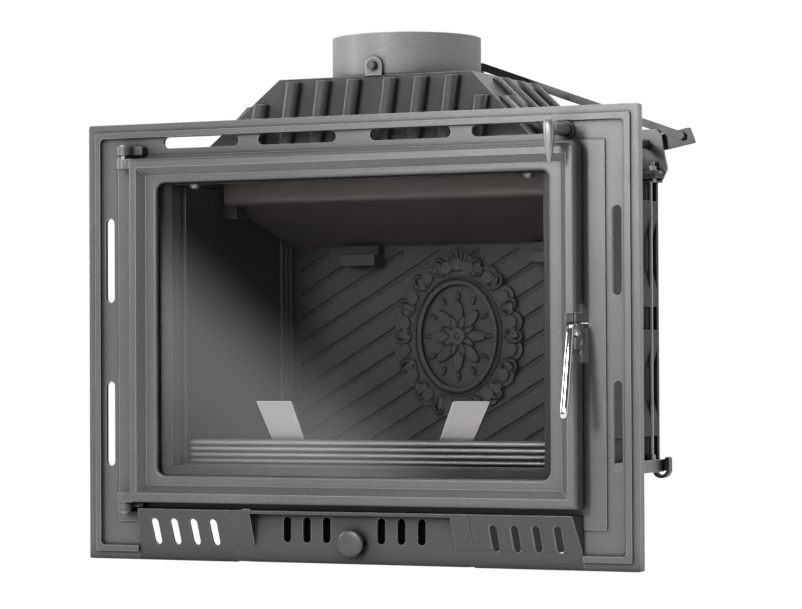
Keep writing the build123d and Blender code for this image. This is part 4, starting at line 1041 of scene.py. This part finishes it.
class INSERT_OT_medallion(bpy.types.Operator):
    """Carve the fireback's medallion: oval moulding, beads, volutes, leaves and a rosette"""

    bl_idname = "insert.medallion"
    bl_label = "Fireback medallion"

    beads = 60
    petal_stretch = 1.24

    def rims(self, bm, centre, wide, tall):
        """Two mouldings with a ring of beads between them."""
        oval_moulding(bm, centre, wide, tall, 3.4 * MM)
        oval_moulding(bm, centre, wide + 7.5 * MM, tall + 7.5 * MM, 1.8 * MM)
        for number in range(self.beads):
            turn = tau * (number + 0.5) / self.beads
            bead = bmesh.ops.create_icosphere(bm, subdivisions=1, radius=1.9 * MM)["verts"]
            spot = centre + on_ground(turn, wide + 4.2 * MM, tall + 4.2 * MM)
            bmesh.ops.translate(bm, verts=bead, vec=spot)

    def foliage(self, bm, centre, wide, tall, count):
        """Pairs of volutes with three leaves each, up both sides."""
        for side in (-1, 1):
            for number in range(count):
                turn = radians(-82 + 164 * (number + 0.5) / count)
                out = on_ground(turn, side * (wide + 13 * MM), tall + 13 * MM)
                spot = centre + out
                outward = atan2(out.z, out.x)
                curl = side if number % 2 else -side
                large, small = outward - curl * radians(50), outward + curl * radians(78)
                scroll(bm, spot, large, curl, 25 * MM, centre.y, 3.6 * MM)
                scroll(bm, spot, small, -curl, 17 * MM, centre.y, 2.6 * MM)
                tip = spot + on_ground(outward, 11 * MM)
                leaf(bm, tip, outward, 11 * MM, 5.0 * MM, 3.0 * MM)
                for lean in (-34, 34):
                    bent = outward + radians(lean)
                    offset = spot + on_ground(bent, 13 * MM)
                    leaf(bm, offset, bent, 7.5 * MM, 3.4 * MM, 2.2 * MM)

    def sprays(self, bm, centre, tall):
        """Fan of nine leaves at the crown and of seven at the foot."""
        crown = centre + Vector((0, 0, tall + 17 * MM))
        for ray in range(-4, 5):
            heading = radians(90 + ray * 20)
            reach = (15.0 - 0.9 * abs(ray)) * MM
            leaf(bm, crown + on_ground(heading, reach * 0.75), heading, reach, 3.0 * MM, 3.4 * MM)
        foot = centre - Vector((0, 0, tall + 16 * MM))
        for ray in range(-3, 4):
            heading = radians(-90 + ray * 24)
            spot = foot + on_ground(heading, 8 * MM)
            leaf(bm, spot, heading, 10.5 * MM, 2.8 * MM, 3.0 * MM)

    def rosette(self, bm, centre):
        """Three rings of petals round a boss, on the sunk field."""
        field = centre + Y_WAY * 3 * MM
        for ring, (petals, reach, long, broad, rise, lift) in enumerate(
            ((8, 25, 17, 8.0, 3.6, 0.0), (8, 15, 11, 5.6, 3.2, 2.0), (12, 43, 6.5, 3.0, 2.0, 0.0))
        ):
            for number in range(petals):
                turn = tau * (number + 0.5 * (ring % 2)) / petals
                spot = field + on_ground(turn, reach * MM, self.petal_stretch * reach * MM)
                spot.y -= (1.0 + lift) * MM
                heading = atan2(self.petal_stretch * sin(turn), cos(turn))
                leaf(bm, spot, heading, long * MM, broad * MM, rise * MM)
        boss = ball(bm, 20, 10, 8.0 * MM)
        bmesh.ops.scale(bm, verts=boss, vec=(1.0, 0.55, 1.0))
        bmesh.ops.translate(bm, verts=boss, vec=field - Y_WAY * 3.6 * MM)

    def execute(self, context):
        sizes = context.scene.insert_sizes
        look = context.scene.insert_finish
        iron = cast_finish("medallion_iron", look.firebox_iron, 0.46, look.grain)
        centre = point(*MEDALLION_GROUND)
        bm = bmesh.new()
        self.rims(bm, centre, sizes.oval_width, sizes.oval_height)
        self.foliage(bm, centre, sizes.oval_width, sizes.oval_height, sizes.scrolls)
        self.sprays(bm, centre, sizes.oval_height)
        self.rosette(bm, centre)
        finished_piece("medallion_carving", bm, iron, "casing", None)
        return {"FINISHED"}


# ---------------------------------------------------------------- stage
class INSERT_OT_stage(bpy.types.Operator):
    """Set up the floor, the lamps and the camera"""

    bl_idname = "insert.stage"
    bl_label = "Floor, lamps and camera"

    lit_middle = Vector((0.0, -0.1, 0.28))

    def lamp(self, scene, name, place, width, height, power):
        """Lamp that faces the middle of the insert."""
        data = bpy.data.lights.new(name, "AREA")
        data.shape = "RECTANGLE"
        data.size = width
        data.size_y = height
        data.energy = power
        obj = bpy.data.objects.new(name, data)
        obj.location = place
        aim = self.lit_middle - Vector(place)
        obj.rotation_euler = aim.to_track_quat("-Z", "Y").to_euler()
        scene.collection.objects.link(obj)

    def studio(self, scene, setup):
        """White behind the object, a dim room with one soft bright patch in front of it."""
        world = bpy.data.worlds.new("studio")
        scene.world = world
        world.use_nodes = True
        world.node_tree.nodes.clear()

        def soft_step(value, start, end, low, high):
            node = add_node(
                world,
                "ShaderNodeMapRange",
                interpolation_type="SMOOTHSTEP",
                From_Min=start,
                From_Max=end,
                To_Min=low,
                To_Max=high,
            )
            link(world, value, node.inputs["Value"])
            return node.outputs["Result"]

        def product(first, second):
            return maths(world, "MULTIPLY", first, second)

        def total(first, second):
            return maths(world, "ADD", first, second)

        def rest(share):
            return maths(world, "SUBTRACT", 1.0, share)

        split = add_node(world, "ShaderNodeSeparateXYZ")
        way = add_node(world, "ShaderNodeTexCoord")
        link(world, way.outputs["Generated"], split.inputs["Vector"])
        x, y, z = split.outputs

        # slopes to the left and upwards of a direction that points to the front
        ahead = maths(world, "MAXIMUM", product(y, -1.0), 0.001)
        leftward = maths(world, "DIVIDE", product(x, -1.0), ahead)
        upward = maths(world, "DIVIDE", z, ahead)
        # the patch runs between two slanting edges, and ends at its left and at its foot
        slant = maths(world, "SUBTRACT", product(leftward, 0.627), product(upward, 0.779))
        band = product(
            soft_step(slant, 0.303, 0.339, 0.0, 1.0), soft_step(slant, 0.345, 0.39, 1.0, 0.45)
        )
        ends = product(
            soft_step(leftward, 0.575, 0.6, 1.0, 0.0), soft_step(upward, -0.1, -0.07, 0.0, 1.0)
        )
        room = total(product(product(band, ends), setup.window_glow), setup.room_glow)
        behind = soft_step(y, -0.1, 0.25, 0.0, 1.0)
        surroundings = total(product(rest(behind), room), behind)
        rays = add_node(world, "ShaderNodeLightPath").outputs
        mirrored = maths(world, "MAXIMUM", rays["Is Glossy Ray"], rays["Is Transmission Ray"])
        seen = maths(world, "MAXIMUM", rays["Is Camera Ray"], mirrored)
        shown = maths(world, "MAXIMUM", rays["Is Camera Ray"], surroundings)
        strength = total(product(seen, shown), product(rest(seen), setup.sky))
        even = add_node(world, "ShaderNodeBackground", Color=WHITE)
        link(world, strength, even.inputs["Strength"])
        out = add_node(world, "ShaderNodeOutputWorld")
        link(world, even.outputs["Background"], out.inputs["Surface"])

    def floor(self, scene):
        """Pale floor that shows as plain white with the object's shadow left on it."""
        plain_white = 0.92  # share of the plain white; the rest takes light and shadow
        bm = bmesh.new()
        bmesh.ops.create_grid(bm, x_segments=1, y_segments=1, size=2.6)
        mesh = bpy.data.meshes.new("floor")
        bm.to_mesh(mesh)
        bm.free()
        floor = bpy.data.objects.new("floor", mesh)
        scene.collection.objects.link(floor)
        material, shader = new_material("pale_floor")
        shader.inputs["Base Color"].default_value = (0.92, 0.92, 0.92, 1.0)
        shader.inputs["Roughness"].default_value = 0.8
        glow = add_node(material, "ShaderNodeEmission", Color=WHITE, Strength=1.06)
        rays = add_node(material, "ShaderNodeLightPath").outputs
        mirrored = maths(material, "MAXIMUM", rays["Is Glossy Ray"], rays["Is Transmission Ray"])
        looked_at = maths(material, "MAXIMUM", rays["Is Camera Ray"], mirrored)
        seen = maths(material, "MULTIPLY", looked_at, plain_white)
        mixed_surface(material, seen, shader.outputs["BSDF"], glow.outputs["Emission"])
        mesh.materials.append(material)

    def camera(self, scene, setup):
        """Camera with its place, its line of sight and its lens."""
        data = bpy.data.cameras.new("camera")
        data.sensor_width = 36.0
        data.sensor_fit = "HORIZONTAL"
        data.lens = setup.lens
        data.clip_start = 0.05
        data.clip_end = 60.0
        camera = bpy.data.objects.new("camera", data)
        camera.location = tuple(setup.camera_place)
        view = Vector(
            (
                -sin(setup.azimuth) * cos(setup.rise),
                cos(setup.azimuth) * cos(setup.rise),
                sin(setup.rise),
            )
        )
        facing = view.to_track_quat("-Z", "Y").to_matrix() @ Matrix.Rotation(setup.roll, 3, "Z")
        camera.rotation_euler = facing.to_euler()
        scene.collection.objects.link(camera)
        scene.camera = camera

    def execute(self, context):
        scene = context.scene
        setup = scene.insert_stage
        scene.view_settings.view_transform = "Standard"
        self.floor(scene)
        self.studio(scene, setup)
        # each lamp with its place, width, height and power
        for name, place, width, height, power in (
            ("front_lamp", (-0.6, -3.0, 1.15), 0.45, 0.8, setup.key_power),
            ("fill_lamp", (0.95, -3.1, 0.62), 0.8, 0.6, setup.fill_power),
            ("left_lamp", (-2.7, -1.3, 1.2), 0.7, 1.4, setup.left_power),
            ("side_lamp", (2.0, 1.9, 1.3), 1.0, 1.6, setup.side_power),
            ("top_lamp", (0.0, -0.3, 2.6), 2.0, 1.6, setup.top_power),
        ):
            self.lamp(scene, name, place, width, height, power)
        self.camera(scene, setup)
        return {"FINISHED"}


class INSERT_PT_sidebar(bpy.types.Panel):
    """Sizes, colours and steps of the insert"""

    bl_idname = "INSERT_PT_sidebar"
    bl_label = "Fireplace insert"
    bl_space_type = "VIEW_3D"
    bl_region_type = "UI"
    bl_category = "Insert"

    def draw(self, context):
        scene = context.scene
        for group in (scene.insert_finish, scene.insert_sizes, scene.insert_stage):
            column = self.layout.column(align=True)
            for name in group.bl_rna.properties.keys():
                if name not in {"rna_type", "name"}:
                    column.prop(group, name)
        for step in STEPS:
            self.layout.operator(step.bl_idname)


STEPS = (
    INSERT_OT_stage,
    INSERT_OT_castings,
    INSERT_OT_firebox,
    INSERT_OT_steel,
    INSERT_OT_pane,
    INSERT_OT_seals,
    INSERT_OT_lever,
    INSERT_OT_handle,
    INSERT_OT_knob,
    INSERT_OT_medallion,
)
GROUPS = (InsertFinish, InsertSizes, InsertStage)


def register():
    for item in (*GROUPS, *STEPS, INSERT_PT_sidebar):
        bpy.utils.register_class(item)
    bpy.types.Scene.insert_finish = bpy.props.PointerProperty(type=InsertFinish)
    bpy.types.Scene.insert_sizes = bpy.props.PointerProperty(type=InsertSizes)
    bpy.types.Scene.insert_stage = bpy.props.PointerProperty(type=InsertStage)


def unregister():
    del bpy.types.Scene.insert_stage
    del bpy.types.Scene.insert_sizes
    del bpy.types.Scene.insert_finish
    for item in reversed((*GROUPS, *STEPS, INSERT_PT_sidebar)):
        bpy.utils.unregister_class(item)


def main():
    register()
    bpy.ops.insert.stage()
    bpy.ops.insert.castings()
    bpy.ops.insert.firebox()
    bpy.ops.insert.steel()
    bpy.ops.insert.pane()
    bpy.ops.insert.seals()
    bpy.ops.insert.lever()
    bpy.ops.insert.handle()
    bpy.ops.insert.knob()
    bpy.ops.insert.medallion()


if __name__ == "__main__":
    main()
